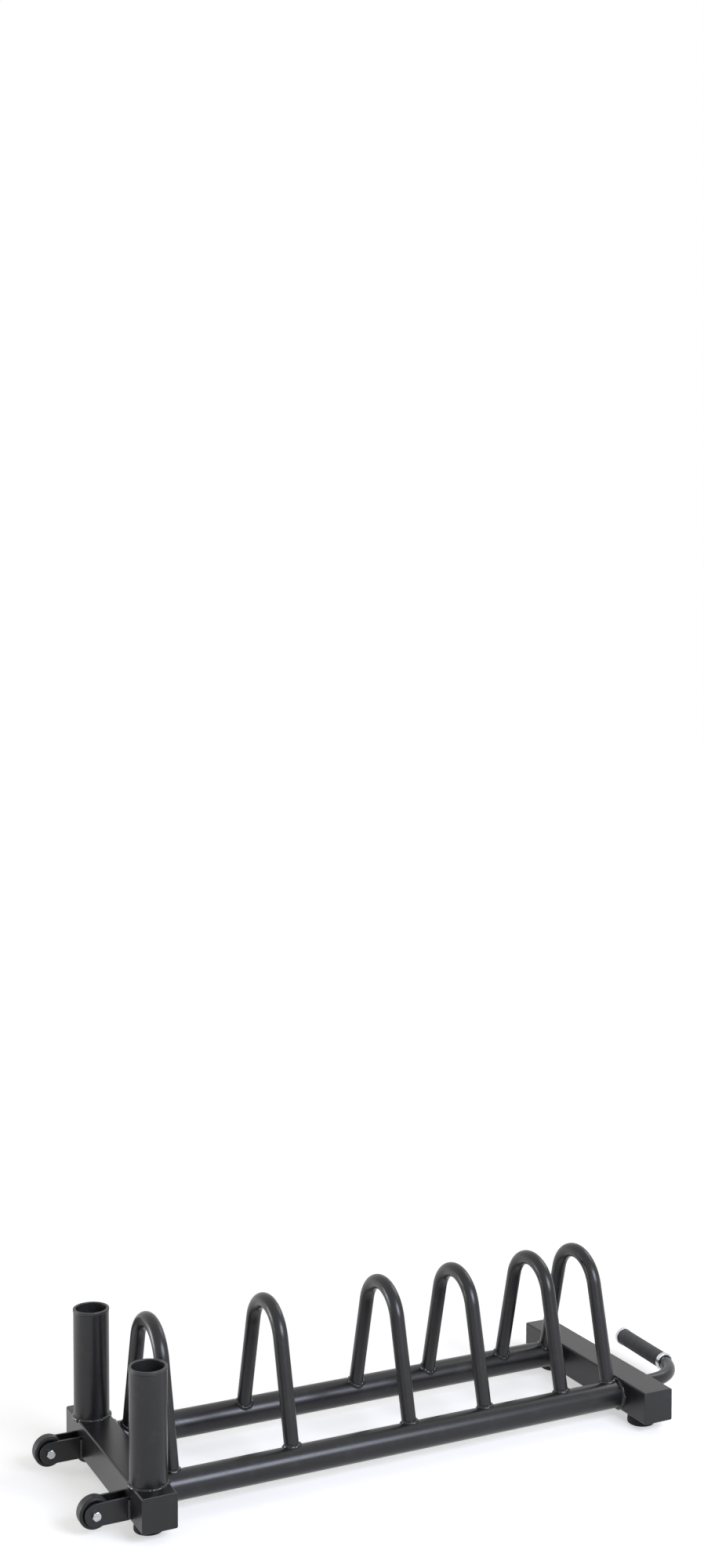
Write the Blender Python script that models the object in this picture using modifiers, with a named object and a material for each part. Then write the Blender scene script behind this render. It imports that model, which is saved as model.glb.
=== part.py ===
"""Weight plate rack for a gym floor.

A welded base of two box beams and two round rails stands on rubber feet. Six hoops of bent
tube keep the plates apart, two upright tubes hold barbells on end, and the rack is moved
like a barrow: lifted by the handle at one end, it rolls on two wheels at the other.

X runs along the rack from the wheels to the handle, Y across it and Z up. The origin is on
the floor, under the middle of the rack's bounding box. All sizes are in metres. Pieces on
the -Y side are called near, and those on the +Y side far.
"""

import math

import bmesh
import bpy
from mathutils import Vector

RACK_NAME = "weight_plate_rack"

# Gap left between pieces that touch on the real rack
SEAT_GAP = 0.0003

# Cross beams, box tube closed by welded end caps
BEAM_LENGTH = 0.392
BEAM_WIDTH = 0.058
BEAM_HEIGHT = 0.056
BEAM_WALL = 0.0025
BEAM_CORNER_RADIUS = 0.003
CAP_THICKNESS = 0.003

# Long rails, round tube butted against the inner faces of the beams
RAIL_DIAMETER = 0.047
RAIL_WALL = 0.0025
RAIL_SPACING = 0.220
RAIL_DROP = 0.002  # rail axis below the middle of the beams

# Hoops, bent round tube standing on both rails
HOOP_TUBE_DIAMETER = 0.025
HOOP_TUBE_WALL = 0.002
HOOP_RISE = 0.229  # axis of the tube at the crown, above the rail axis
HOOP_BEND_RADIUS = 0.060
HOOP_FOOT_INSET = 0.003  # foot of a leg inwards of the rail axis
FIRST_HOOP_CLEARANCE = 0.0115
SLOT_1 = 0.183  # clear width between two hoops, from the wheel end on
SLOT_2 = 0.192
SLOT_3 = 0.122
SLOT_4 = 0.131
SLOT_5 = 0.073
LAST_HOOP_CLEARANCE = 0.0015

# Upright tubes for barbells, each with a flanged liner that is closed below
HOLDER_DIAMETER = 0.060
HOLDER_WALL = 0.002
HOLDER_HEIGHT = 0.178
HOLDER_INSET = 0.052  # axis inwards of the beam's end
LINER_BORE = 0.0515
LINER_BASE = 0.003  # closed bottom, which a barbell stands on
LINER_CORNER = 0.0006  # slope between the bore and the flat bottom
LINER_FLANGE_OVERHANG = 0.0006
LINER_FLANGE_HEIGHT = 0.005
LINER_FLANGE_ROUNDING = 0.0018

# Rubber feet and the screws that hold them
FOOT_DIAMETER = 0.048
FOOT_TOP_DIAMETER = 0.045
FOOT_HEIGHT = 0.018
FOOT_ROUNDING = 0.006
FOOT_INSET = 0.052  # axis inwards of the beam's end
FOOT_RECESS_DIAMETER = 0.016
FOOT_RECESS_DEPTH = 0.009
SCREW_DIAMETER = 0.006
SCREW_HEAD_DIAMETER = 0.012
SCREW_HEAD_HEIGHT = 0.004
SCREW_REACH = 0.008  # tip above the beam's bottom wall

# Transport wheels, their axles and the ears that carry them
WHEEL_DIAMETER = 0.050
WHEEL_WIDTH = 0.020
WHEEL_EDGE_ROUNDING = 0.003
WHEEL_RIM_DEPTH = 0.006
WHEEL_WEB_THICKNESS = 0.010
WHEEL_HUB_DIAMETER = 0.022
WHEEL_DISH = 0.0015  # run-out of the dish between rim, web and hub
WHEEL_REACH = 0.0534  # axle outwards of the beam's face
WHEEL_INSET = 0.073  # middle of the wheel inwards of the beam's end
EAR_HEIGHT = 0.036
EAR_THICKNESS = 0.004
EAR_GAP = 0.0228  # clear width between the two ears of a wheel
SLEEVE_DIAMETER = 0.012
AXLE_DIAMETER = 0.008
AXLE_TIP = 0.003  # bolt past the nut
HEX_WIDTH = 0.013
BOLT_HEAD_HEIGHT = 0.0053
NUT_HEIGHT = 0.0065

# Lifting handle, a bent tube with a free end that carries the grip
HANDLE_TUBE_DIAMETER = 0.024
HANDLE_TUBE_WALL = 0.002
HANDLE_LEG_OFFSET = 0.0924  # leg from the middle of the rack, towards the near side
HANDLE_LEG_LENGTH = 0.0298
HANDLE_BEND_RADIUS = 0.077
HANDLE_SPLAY_DEG = 3.0  # grip opens away from the beam by this much
RING_LAP = 0.0125  # the first ring reaches back over the end of the bend
GRIP_DIAMETER = 0.030
GRIP_BORE = 0.0254
GRIP_LENGTH = 0.134
RING_DIAMETER = 0.033
RING_BORE = 0.027
RING_LENGTH = 0.008
RING_CHAMFER = 0.0015
PLUG_CROWN = 0.004  # top of the dome past the end of the tube
PLUG_RIM = 0.0012  # straight rim below the dome, with the gap under it
PLUG_STEM_LENGTH = 0.014
PLUG_STEM_PLAY = 0.0003

# Sides and steps of the round shapes
TUBE_BEVEL_RESOLUTION = 6
BEND_STEPS = 10
RAIL_SIDES = 32
HOLDER_STEPS = 36
FOOT_STEPS = 20
WHEEL_STEPS = 24
SMALL_STEPS = 12
GRIP_STEPS = 24
ROUNDING_STEPS = 3
HEX_SIDES = 6
SMOOTH_ANGLE = math.radians(35)
MERGE_DISTANCE = 0.00001

# Colours are linear RGB, with roughness and metallic value
FINISHES = {
    "powder_coat": ((0.018, 0.018, 0.020), 0.42, 0.0),
    "black_plastic": ((0.012, 0.012, 0.013), 0.35, 0.0),
    "black_rubber": ((0.010, 0.010, 0.010), 0.75, 0.0),
    "zinc_steel": ((0.56, 0.57, 0.58), 0.30, 1.0),
    "aluminium": ((0.72, 0.73, 0.74), 0.28, 1.0),
}

# Places that follow from the sizes
BEAM_BOTTOM = FOOT_HEIGHT + SEAT_GAP
BEAM_TOP = BEAM_BOTTOM + BEAM_HEIGHT
BEAM_MIDDLE = BEAM_BOTTOM + BEAM_HEIGHT / 2
BEAM_HALF = BEAM_LENGTH / 2
RAIL_AXIS = BEAM_MIDDLE - RAIL_DROP
PLATE_SLOTS = (SLOT_1, SLOT_2, SLOT_3, SLOT_4, SLOT_5)
RAIL_RUN = (
    FIRST_HOOP_CLEARANCE
    + HOOP_TUBE_DIAMETER * (len(PLATE_SLOTS) + 1)
    + sum(PLATE_SLOTS)
    + LAST_HOOP_CLEARANCE
)
BASE_LENGTH = RAIL_RUN + 2 * BEAM_WIDTH
WHEEL_AXIS_HEIGHT = BEAM_BOTTOM + EAR_HEIGHT / 2
WHEEL_OFFSET = BEAM_HALF - WHEEL_INSET
HANDLE_RUN = -RING_LAP + 2 * RING_LENGTH + GRIP_LENGTH + 2 * SEAT_GAP
SPLAY = math.radians(HANDLE_SPLAY_DEG)
RACK_REACH = (
    BASE_LENGTH
    + HANDLE_LEG_LENGTH
    + (HANDLE_BEND_RADIUS + RING_DIAMETER / 2) * math.cos(SPLAY)
    + (HANDLE_RUN - RING_CHAMFER) * math.sin(SPLAY)
)
WHEEL_OUTER_X = -WHEEL_REACH - WHEEL_DIAMETER / 2
START_X = -(WHEEL_OUTER_X + RACK_REACH) / 2  # outer face of the wheel-end beam

parts = None
cutters = None
finishes = {}


def clear_file():
    """Empties the file, so that the script can run again in the same session."""
    for item in list(bpy.data.objects):
        bpy.data.objects.remove(item)
    for group in list(bpy.data.collections):
        bpy.data.collections.remove(group)


def new_collection(name):
    """Makes a collection under the scene's own."""
    group = bpy.data.collections.new(name)
    bpy.context.scene.collection.children.link(group)
    return group


def make_finishes():
    """Makes one Principled material for each finish."""
    for name, (colour, roughness, metallic) in FINISHES.items():
        material = bpy.data.materials.new(name)
        material.use_nodes = True
        shader = material.node_tree.nodes["Principled BSDF"]
        shader.inputs["Base Color"].default_value = (*colour, 1.0)
        shader.inputs["Roughness"].default_value = roughness
        shader.inputs["Metallic"].default_value = metallic
        finishes[name] = material


def add_part(name, mesh, finish, location, turn=(0.0, 0.0, 0.0)):
    """Puts a mesh in the rack as a named sub-part."""
    item = bpy.data.objects.new(name, mesh)
    item.location = location
    item.rotation_euler = turn
    parts.objects.link(item)
    if not mesh.materials:
        mesh.materials.append(finishes[finish])
    return item


def add_cutter(name, mesh, location, turn=(0.0, 0.0, 0.0)):
    """Puts a mesh among the cutters, which are never part of the rack."""
    item = bpy.data.objects.new(name, mesh)
    item.location = location
    item.rotation_euler = turn
    item.hide_render = True
    item.display_type = "WIRE"
    cutters.objects.link(item)
    return item


def combine(target, tool, operation="DIFFERENCE"):
    """Adds a Boolean modifier that cuts the target with a tool, or joins them."""
    step = target.modifiers.new(operation.title(), "BOOLEAN")
    step.operation = operation
    step.solver = "EXACT"
    step.object = tool


def mesh_of(item):
    """Returns the evaluated mesh of an object, with doubled points merged."""
    graph = bpy.context.evaluated_depsgraph_get()
    mesh = bpy.data.meshes.new_from_object(item.evaluated_get(graph))
    form = bmesh.new()
    form.from_mesh(mesh)
    bmesh.ops.remove_doubles(form, verts=form.verts, dist=MERGE_DISTANCE)
    form.to_mesh(mesh)
    form.free()
    return mesh


def smooth(mesh):
    """Shades the round faces smooth and keeps the real edges sharp."""
    mesh.shade_smooth()
    mesh.set_sharp_from_angle(angle=SMOOTH_ANGLE)


def settle(item):
    """Turns the modifiers of a part into its plain mesh."""
    name = item.data.name
    mesh = mesh_of(item)
    mesh.name = name
    item.modifiers.clear()
    item.data = mesh
    smooth(mesh)


def box_mesh(name, size_x, size_y, size_z):
    """A plain box about its middle."""
    form = bmesh.new()
    bmesh.ops.create_cube(form, size=1.0)
    bmesh.ops.scale(form, vec=(size_x, size_y, size_z), verts=form.verts)
    mesh = bpy.data.meshes.new(name)
    form.to_mesh(mesh)
    form.free()
    return mesh


def rounded_bar_mesh(name, size_x, size_y, size_z, radius):
    """A box about its middle, with the four edges along Y rounded."""
    form = bmesh.new()
    bmesh.ops.create_cube(form, size=1.0)
    bmesh.ops.scale(form, vec=(size_x, size_y, size_z), verts=form.verts)
    along = []
    for edge in form.edges:
        run = edge.verts[1].co - edge.verts[0].co
        if abs(run.y) > abs(run.x) + abs(run.z):
            along.append(edge)
    bmesh.ops.bevel(
        form, geom=along, offset=radius, segments=ROUNDING_STEPS, profile=0.5, affect="EDGES"
    )
    mesh = bpy.data.meshes.new(name)
    form.to_mesh(mesh)
    form.free()
    return mesh


def cylinder_mesh(name, radius, length, sides):
    """A closed cylinder or prism along Z, about its middle."""
    form = bmesh.new()
    bmesh.ops.create_cone(
        form, cap_ends=True, segments=sides, radius1=radius, radius2=radius, depth=length
    )
    mesh = bpy.data.meshes.new(name)
    form.to_mesh(mesh)
    form.free()
    return mesh


def turned_mesh(name, profile, steps, closed):
    """Turns a profile of (radius, height) points, outer side downwards, about Z.

    A closed profile goes round a bore, and an open one starts and ends on the axis.
    """
    points = [(radius, 0.0, height) for radius, height in profile]
    edges = [(index, index + 1) for index in range(len(points) - 1)]
    if closed:
        edges.append((len(points) - 1, 0))
    mesh = bpy.data.meshes.new(name)
    mesh.from_pydata(points, edges, [])
    item = bpy.data.objects.new(name, mesh)
    cutters.objects.link(item)
    screw = item.modifiers.new("Turn", "SCREW")
    screw.axis = "Z"
    screw.steps = steps
    screw.render_steps = steps
    screw.use_merge_vertices = True
    screw.merge_threshold = MERGE_DISTANCE
    turned = mesh_of(item)
    turned.name = name
    bpy.data.objects.remove(item)
    smooth(turned)
    return turned


def quarter(centre_r, centre_z, radius, start_deg, end_deg):
    """Points of a rounding in a turned profile, from one angle to another."""
    points = []
    for step in range(ROUNDING_STEPS + 1):
        angle = math.radians(start_deg + (end_deg - start_deg) * step / ROUNDING_STEPS)
        points.append((centre_r + radius * math.cos(angle), centre_z + radius * math.sin(angle)))
    return points


def pipe_mesh(name, route, diameter, wall, resolution=TUBE_BEVEL_RESOLUTION):
    """A hollow tube of even wall along a route of points, open at both ends."""
    curve = bpy.data.curves.new(name, "CURVE")
    curve.dimensions = "3D"
    curve.bevel_depth = diameter / 2
    curve.bevel_resolution = resolution
    curve.use_fill_caps = False
    spline = curve.splines.new("POLY")
    spline.points.add(len(route) - 1)
    for point, place in zip(spline.points, route):
        point.co = (*place, 1.0)
    item = bpy.data.objects.new(name, curve)
    cutters.objects.link(item)
    skin = mesh_of(item)
    bpy.data.objects.remove(item)
    shell = bpy.data.objects.new(name, skin)
    cutters.objects.link(shell)
    solid = shell.modifiers.new("Wall", "SOLIDIFY")
    solid.thickness = wall
    solid.offset = -1.0
    solid.use_even_offset = True
    mesh = mesh_of(shell)
    mesh.name = name
    bpy.data.objects.remove(shell)
    return mesh


def plate_mesh(name, outline, holes, thickness):
    """A flat plate in the XY plane, about its middle, with round holes."""
    curve = bpy.data.curves.new(name, "CURVE")
    curve.dimensions = "2D"
    curve.fill_mode = "BOTH"
    curve.extrude = thickness / 2
    rims = [outline]
    for hole_x, hole_y, radius in holes:
        rims.append(arc(hole_x, hole_y, radius, 0.0, 360.0, SMALL_STEPS)[:-1])
    for rim in rims:
        spline = curve.splines.new("POLY")
        spline.points.add(len(rim) - 1)
        for point, (place_x, place_y) in zip(spline.points, rim):
            point.co = (place_x, place_y, 0.0, 1.0)
        spline.use_cyclic_u = True
    item = bpy.data.objects.new(name, curve)
    cutters.objects.link(item)
    mesh = mesh_of(item)
    mesh.name = name
    bpy.data.objects.remove(item)
    return mesh


def arc(centre_a, centre_b, radius, start_deg, end_deg, steps):
    """Points on an arc in a plane, both ends included."""
    points = []
    for step in range(steps + 1):
        angle = math.radians(start_deg + (end_deg - start_deg) * step / steps)
        points.append((centre_a + radius * math.cos(angle), centre_b + radius * math.sin(angle)))
    return points


def make_beam(name, middle_x):
    """A cross beam: rounded box tube with screw holes below, and its two end caps."""
    cap_run = CAP_THICKNESS + SEAT_GAP
    tube_length = BEAM_LENGTH - 2 * cap_run
    bar = rounded_bar_mesh(name, BEAM_WIDTH, tube_length, BEAM_HEIGHT, BEAM_CORNER_RADIUS)
    beam = add_part(name, bar, "powder_coat", (middle_x, 0.0, BEAM_MIDDLE))
    hollow = add_cutter(
        name + "_hollow",
        box_mesh(
            name + "_hollow",
            BEAM_WIDTH - 2 * BEAM_WALL,
            BEAM_LENGTH,
            BEAM_HEIGHT - 2 * BEAM_WALL,
        ),
        (middle_x, 0.0, BEAM_MIDDLE),
    )
    combine(beam, hollow)
    for side, sign in (("near", -1), ("far", 1)):
        foot_y = sign * (BEAM_HALF - FOOT_INSET)
        hole = add_cutter(
            name + "_hole_" + side,
            cylinder_mesh("screw_hole", SCREW_DIAMETER / 2 + SEAT_GAP, 4 * BEAM_WALL, SMALL_STEPS),
            (middle_x, foot_y, BEAM_BOTTOM + BEAM_WALL / 2),
        )
        combine(beam, hole)
    settle(beam)
    cap = rounded_bar_mesh(
        name + "_cap", BEAM_WIDTH, CAP_THICKNESS, BEAM_HEIGHT, BEAM_CORNER_RADIUS
    )
    smooth(cap)
    for side, sign in (("near", -1), ("far", 1)):
        cap_y = sign * (BEAM_HALF - CAP_THICKNESS / 2)
        add_part(name + "_cap_" + side, cap, "powder_coat", (middle_x, cap_y, BEAM_MIDDLE))


def make_rails(inner_x):
    """The two round rails between the beams."""
    profile = [
        (RAIL_DIAMETER / 2, RAIL_RUN - SEAT_GAP),
        (RAIL_DIAMETER / 2, SEAT_GAP),
        (RAIL_DIAMETER / 2 - RAIL_WALL, SEAT_GAP),
        (RAIL_DIAMETER / 2 - RAIL_WALL, RAIL_RUN - SEAT_GAP),
    ]
    rail = turned_mesh("rail", profile, RAIL_SIDES, closed=True)
    for side, sign in (("near", -1), ("far", 1)):
        place = (inner_x, sign * RAIL_SPACING / 2, RAIL_AXIS)
        add_part("rail_" + side, rail, "powder_coat", place, (0.0, math.pi / 2, 0.0))


def hoop_route():
    """Route of the hoop's tube in the YZ plane, from the near rail's axis to the far one's."""
    foot = Vector((RAIL_SPACING / 2 - HOOP_FOOT_INSET, 0.0))
    centre = Vector((0.0, HOOP_RISE - HOOP_BEND_RADIUS))
    reach = foot - centre
    bend_start = math.atan2(reach.y, reach.x) + math.acos(HOOP_BEND_RADIUS / reach.length)
    start_deg = math.degrees(bend_start)
    bend = arc(0.0, centre.y, HOOP_BEND_RADIUS, 180.0 - start_deg, start_deg, BEND_STEPS)
    flat = [(-foot.x, 0.0)] + bend + [(foot.x, 0.0)]
    return [(0.0, across, up) for across, up in flat]


def make_hoops(first_x):
    """Six equal hoops, each leg coped to the round top of its rail."""
    rail_tools = []
    for side, sign in (("near", -1), ("far", 1)):
        rail_tools.append(
            add_cutter(
                "rail_tool_" + side,
                cylinder_mesh(
                    "rail_tool", RAIL_DIAMETER / 2 + SEAT_GAP, BASE_LENGTH, RAIL_SIDES
                ),
                (START_X + BASE_LENGTH / 2, sign * RAIL_SPACING / 2, RAIL_AXIS),
                (0.0, math.pi / 2, 0.0),
            )
        )
    hoop = pipe_mesh("hoop", hoop_route(), HOOP_TUBE_DIAMETER, HOOP_TUBE_WALL)
    place_x = first_x
    for index in range(len(PLATE_SLOTS) + 1):
        item = add_part("hoop_%d" % (index + 1), hoop, "powder_coat", (place_x, 0.0, RAIL_AXIS))
        for tool in rail_tools:
            combine(item, tool)
        settle(item)
        if index < len(PLATE_SLOTS):
            place_x += HOOP_TUBE_DIAMETER + PLATE_SLOTS[index]


def make_holders(middle_x):
    """The two upright tubes for barbells, with their liners."""
    outer = HOLDER_DIAMETER / 2
    bore = outer - HOLDER_WALL
    tube = turned_mesh(
        "holder_tube",
        [(outer, HOLDER_HEIGHT), (outer, 0.0), (bore, 0.0), (bore, HOLDER_HEIGHT)],
        HOLDER_STEPS,
        closed=True,
    )
    flange = outer + LINER_FLANGE_OVERHANG
    corner = LINER_FLANGE_ROUNDING
    stem = bore - SEAT_GAP
    mouth = LINER_BORE / 2
    foot = -HOLDER_HEIGHT - SEAT_GAP
    floor = foot + LINER_BASE
    profile = [
        (0.0, floor),
        (mouth - LINER_CORNER, floor),
        (mouth, floor + LINER_CORNER),
        (mouth, LINER_FLANGE_HEIGHT - corner),
        (mouth + corner, LINER_FLANGE_HEIGHT),
    ]
    profile += quarter(flange - corner, LINER_FLANGE_HEIGHT - corner, corner, 90.0, 0.0)
    profile += [(flange, 0.0), (stem, 0.0), (stem, foot), (0.0, foot)]
    liner = turned_mesh("holder_liner", profile, HOLDER_STEPS, closed=False)
    base_z = BEAM_TOP + SEAT_GAP
    for side, sign in (("near", -1), ("far", 1)):
        place_y = sign * (BEAM_HALF - HOLDER_INSET)
        add_part("holder_tube_" + side, tube, "powder_coat", (middle_x, place_y, base_z))
        liner_z = base_z + HOLDER_HEIGHT + SEAT_GAP
        add_part("holder_liner_" + side, liner, "black_plastic", (middle_x, place_y, liner_z))


def make_feet(beams):
    """A rubber foot and its screw at each end of each beam."""
    radius = FOOT_DIAMETER / 2
    recess = FOOT_RECESS_DIAMETER / 2
    hole = SCREW_DIAMETER / 2 + SEAT_GAP
    profile = [(FOOT_TOP_DIAMETER / 2, FOOT_HEIGHT)]
    profile += quarter(radius - FOOT_ROUNDING, FOOT_ROUNDING, FOOT_ROUNDING, 0.0, -90.0)
    profile += [
        (recess, 0.0),
        (recess, FOOT_RECESS_DEPTH),
        (hole, FOOT_RECESS_DEPTH),
        (hole, FOOT_HEIGHT),
    ]
    foot = turned_mesh("foot", profile, FOOT_STEPS, closed=True)
    head_top = FOOT_RECESS_DEPTH - SEAT_GAP
    head_bottom = head_top - SCREW_HEAD_HEIGHT
    tip = BEAM_BOTTOM + BEAM_WALL + SCREW_REACH
    screw_profile = [
        (0.0, tip),
        (SCREW_DIAMETER / 2, tip),
        (SCREW_DIAMETER / 2, head_top),
        (SCREW_HEAD_DIAMETER / 2, head_top),
        (SCREW_HEAD_DIAMETER / 2, head_bottom),
        (0.0, head_bottom),
    ]
    screw = turned_mesh("foot_screw", screw_profile, SMALL_STEPS, closed=False)
    for end, middle_x in beams:
        for side, sign in (("near", -1), ("far", 1)):
            place = (middle_x, sign * (BEAM_HALF - FOOT_INSET), 0.0)
            add_part("foot_%s_%s" % (end, side), foot, "black_rubber", place)
            add_part("foot_screw_%s_%s" % (end, side), screw, "zinc_steel", place)


def wheel_profile():
    """Profile of a solid wheel: rounded tread, dished sides and a long hub round its bore."""
    radius = WHEEL_DIAMETER / 2
    half = WHEEL_WIDTH / 2
    edge = WHEEL_EDGE_ROUNDING
    rim = radius - WHEEL_RIM_DEPTH
    web = WHEEL_WEB_THICKNESS / 2
    hub = WHEEL_HUB_DIAMETER / 2
    hub_half = EAR_GAP / 2 - SEAT_GAP
    bore = SLEEVE_DIAMETER / 2 + SEAT_GAP
    profile = quarter(radius - edge, half - edge, edge, 90.0, 0.0)
    profile += quarter(radius - edge, edge - half, edge, 0.0, -90.0)
    profile += [(rim, -half), (rim - WHEEL_DISH, -web), (hub + WHEEL_DISH, -web)]
    profile += [(hub, -hub_half), (bore, -hub_half), (bore, hub_half), (hub, hub_half)]
    profile += [(hub + WHEEL_DISH, web), (rim - WHEEL_DISH, web), (rim, half)]
    return profile


def make_wheels():
    """Both transport wheels, with ears, sleeve, bolt and nut."""
    axle_x = START_X - WHEEL_REACH
    lying = (math.pi / 2, 0.0, 0.0)
    hole = AXLE_DIAMETER / 2 + SEAT_GAP
    half_ear = EAR_HEIGHT / 2
    outline = [(WHEEL_REACH - SEAT_GAP, half_ear)]
    outline += arc(0.0, 0.0, half_ear, 90.0, 270.0, BEND_STEPS)
    outline += [(WHEEL_REACH - SEAT_GAP, -half_ear)]
    ear = plate_mesh("wheel_ear", outline, [(0.0, 0.0, hole)], EAR_THICKNESS)
    smooth(ear)
    wheel = turned_mesh("wheel", wheel_profile(), WHEEL_STEPS, closed=True)
    sleeve_half = EAR_GAP / 2 - SEAT_GAP
    sleeve_profile = [
        (SLEEVE_DIAMETER / 2, sleeve_half),
        (SLEEVE_DIAMETER / 2, -sleeve_half),
        (hole, -sleeve_half),
        (hole, sleeve_half),
    ]
    sleeve = turned_mesh("axle_sleeve", sleeve_profile, SMALL_STEPS, closed=True)
    face = EAR_GAP / 2 + EAR_THICKNESS + SEAT_GAP
    corner_radius = HEX_WIDTH / 2 / math.cos(math.pi / HEX_SIDES)
    shank_end = face + NUT_HEIGHT + AXLE_TIP
    shank_start = -face - BOLT_HEAD_HEIGHT / 2
    shank_length = shank_end - shank_start
    for side, sign in (("near", -1), ("far", 1)):
        middle_y = sign * WHEEL_OFFSET
        centre = (axle_x, middle_y, WHEEL_AXIS_HEIGHT)
        add_part("wheel_" + side, wheel, "black_plastic", centre, lying)
        add_part("axle_sleeve_" + side, sleeve, "zinc_steel", centre, lying)
        for place, way in (("outer", sign), ("inner", -sign)):
            ear_y = middle_y + way * (EAR_GAP + EAR_THICKNESS) / 2
            where = (axle_x, ear_y, WHEEL_AXIS_HEIGHT)
            add_part("wheel_ear_%s_%s" % (side, place), ear, "powder_coat", where, lying)
        head_y = middle_y - face - BOLT_HEAD_HEIGHT / 2
        bolt = add_part(
            "axle_bolt_" + side,
            cylinder_mesh("axle_bolt", corner_radius, BOLT_HEAD_HEIGHT, HEX_SIDES),
            "zinc_steel",
            (axle_x, head_y, WHEEL_AXIS_HEIGHT),
            lying,
        )
        shank_y = middle_y + (shank_start + shank_end) / 2
        shank = add_cutter(
            "axle_shank_" + side,
            cylinder_mesh("axle_shank", AXLE_DIAMETER / 2, shank_length, SMALL_STEPS),
            (axle_x, shank_y, WHEEL_AXIS_HEIGHT),
            lying,
        )
        combine(bolt, shank, "UNION")
        settle(bolt)
        nut_y = middle_y + face + NUT_HEIGHT / 2
        nut = add_part(
            "axle_nut_" + side,
            cylinder_mesh("axle_nut", corner_radius, NUT_HEIGHT, HEX_SIDES),
            "zinc_steel",
            (axle_x, nut_y, WHEEL_AXIS_HEIGHT),
            lying,
        )
        bore = add_cutter(
            "nut_bore_" + side,
            cylinder_mesh("nut_bore", hole, 2 * NUT_HEIGHT, SMALL_STEPS),
            (axle_x, nut_y, WHEEL_AXIS_HEIGHT),
            lying,
        )
        combine(nut, bore)
        settle(nut)


def make_handle(face_x):
    """The bent handle tube with grip, two rings and end plug, along the beam."""
    leg_y = -HANDLE_LEG_OFFSET
    bend_x = HANDLE_LEG_LENGTH
    bend = arc(
        bend_x, HANDLE_BEND_RADIUS, HANDLE_BEND_RADIUS, -90.0, -HANDLE_SPLAY_DEG, BEND_STEPS
    )
    along = Vector((math.sin(SPLAY), math.cos(SPLAY)))
    grip_start = Vector(bend[-1]) - along * RING_LAP
    tube_end = Vector(bend[-1]) + along * HANDLE_RUN
    flat = [(SEAT_GAP, 0.0)] + bend + [tuple(tube_end)]
    route = [(run, across, 0.0) for run, across in flat]
    origin = (face_x, leg_y, BEAM_MIDDLE)
    tube = pipe_mesh("handle_tube", route, HANDLE_TUBE_DIAMETER, HANDLE_TUBE_WALL)
    smooth(tube)
    add_part("handle_tube", tube, "powder_coat", origin)

    ring_r = RING_DIAMETER / 2
    ring_bore_r = RING_BORE / 2
    ring_profile = [
        (ring_r - RING_CHAMFER, RING_LENGTH),
        (ring_r, RING_LENGTH - RING_CHAMFER),
        (ring_r, 0.0),
        (ring_bore_r, 0.0),
        (ring_bore_r, RING_LENGTH),
    ]
    ring = turned_mesh("grip_ring", ring_profile, GRIP_STEPS, closed=True)
    grip_r = GRIP_DIAMETER / 2
    grip_bore_r = GRIP_BORE / 2
    grip = turned_mesh(
        "handle_grip",
        [(grip_r, GRIP_LENGTH), (grip_r, 0.0), (grip_bore_r, 0.0), (grip_bore_r, GRIP_LENGTH)],
        GRIP_STEPS,
        closed=True,
    )
    tube_bore = HANDLE_TUBE_DIAMETER / 2 - HANDLE_TUBE_WALL
    plug_r = HANDLE_TUBE_DIAMETER / 2
    stem_r = tube_bore - PLUG_STEM_PLAY
    plug_profile = []
    for across, up in quarter(0.0, 0.0, 1.0, 90.0, 0.0):
        plug_profile.append((plug_r * across, PLUG_RIM + (PLUG_CROWN - PLUG_RIM) * up))
    plug_profile += [(plug_r, SEAT_GAP), (stem_r, SEAT_GAP)]
    plug_profile += [(stem_r, -PLUG_STEM_LENGTH), (0.0, -PLUG_STEM_LENGTH)]
    plug = turned_mesh("handle_plug", plug_profile, GRIP_STEPS, closed=False)

    forwards = (-math.pi / 2, 0.0, -SPLAY)
    backwards = (math.pi / 2, 0.0, -SPLAY)

    def on_grip(distance):
        spot = grip_start + along * distance
        return (face_x + spot.x, leg_y + spot.y, BEAM_MIDDLE)

    add_part("grip_ring_near", ring, "aluminium", on_grip(RING_LENGTH), backwards)
    add_part("handle_grip", grip, "black_rubber", on_grip(RING_LENGTH + SEAT_GAP), forwards)
    far_ring = RING_LENGTH + GRIP_LENGTH + 2 * SEAT_GAP
    add_part("grip_ring_far", ring, "aluminium", on_grip(far_ring), forwards)
    add_part("handle_plug", plug, "black_plastic", on_grip(far_ring + RING_LENGTH), forwards)


def build_rack():
    """Makes every sub-part in its place."""
    global parts, cutters
    clear_file()
    parts = new_collection(RACK_NAME)
    cutters = new_collection(RACK_NAME + "_cutters")
    make_finishes()
    wheel_beam_x = START_X + BEAM_WIDTH / 2
    handle_beam_x = START_X + BASE_LENGTH - BEAM_WIDTH / 2
    make_beam("beam_wheel_end", wheel_beam_x)
    make_beam("beam_handle_end", handle_beam_x)
    make_rails(START_X + BEAM_WIDTH)
    make_hoops(START_X + BEAM_WIDTH + FIRST_HOOP_CLEARANCE + HOOP_TUBE_DIAMETER / 2)
    make_holders(wheel_beam_x)
    make_feet((("wheel_end", wheel_beam_x), ("handle_end", handle_beam_x)))
    make_wheels()
    make_handle(START_X + BASE_LENGTH)


build_rack()
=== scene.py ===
# %% [markdown]
# # A weight plate rack, finished around its CAD model
# The rack is a low welded frame of steel tube: two rails between two box beams, six hoops
# that divide it into slots, two upright holders, two wheels and a lifting handle. The CAD
# model already gives every place and size. This lesson gives each piece the surface that
# the real one has: bent tube, weld beads, powder coat, turned and moulded small parts. Each
# finished piece is built where its CAD piece is, and rides on the same body.

# %% Load the frame
import math

import bmesh
import bpy
from mathutils import Matrix, Vector


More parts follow.
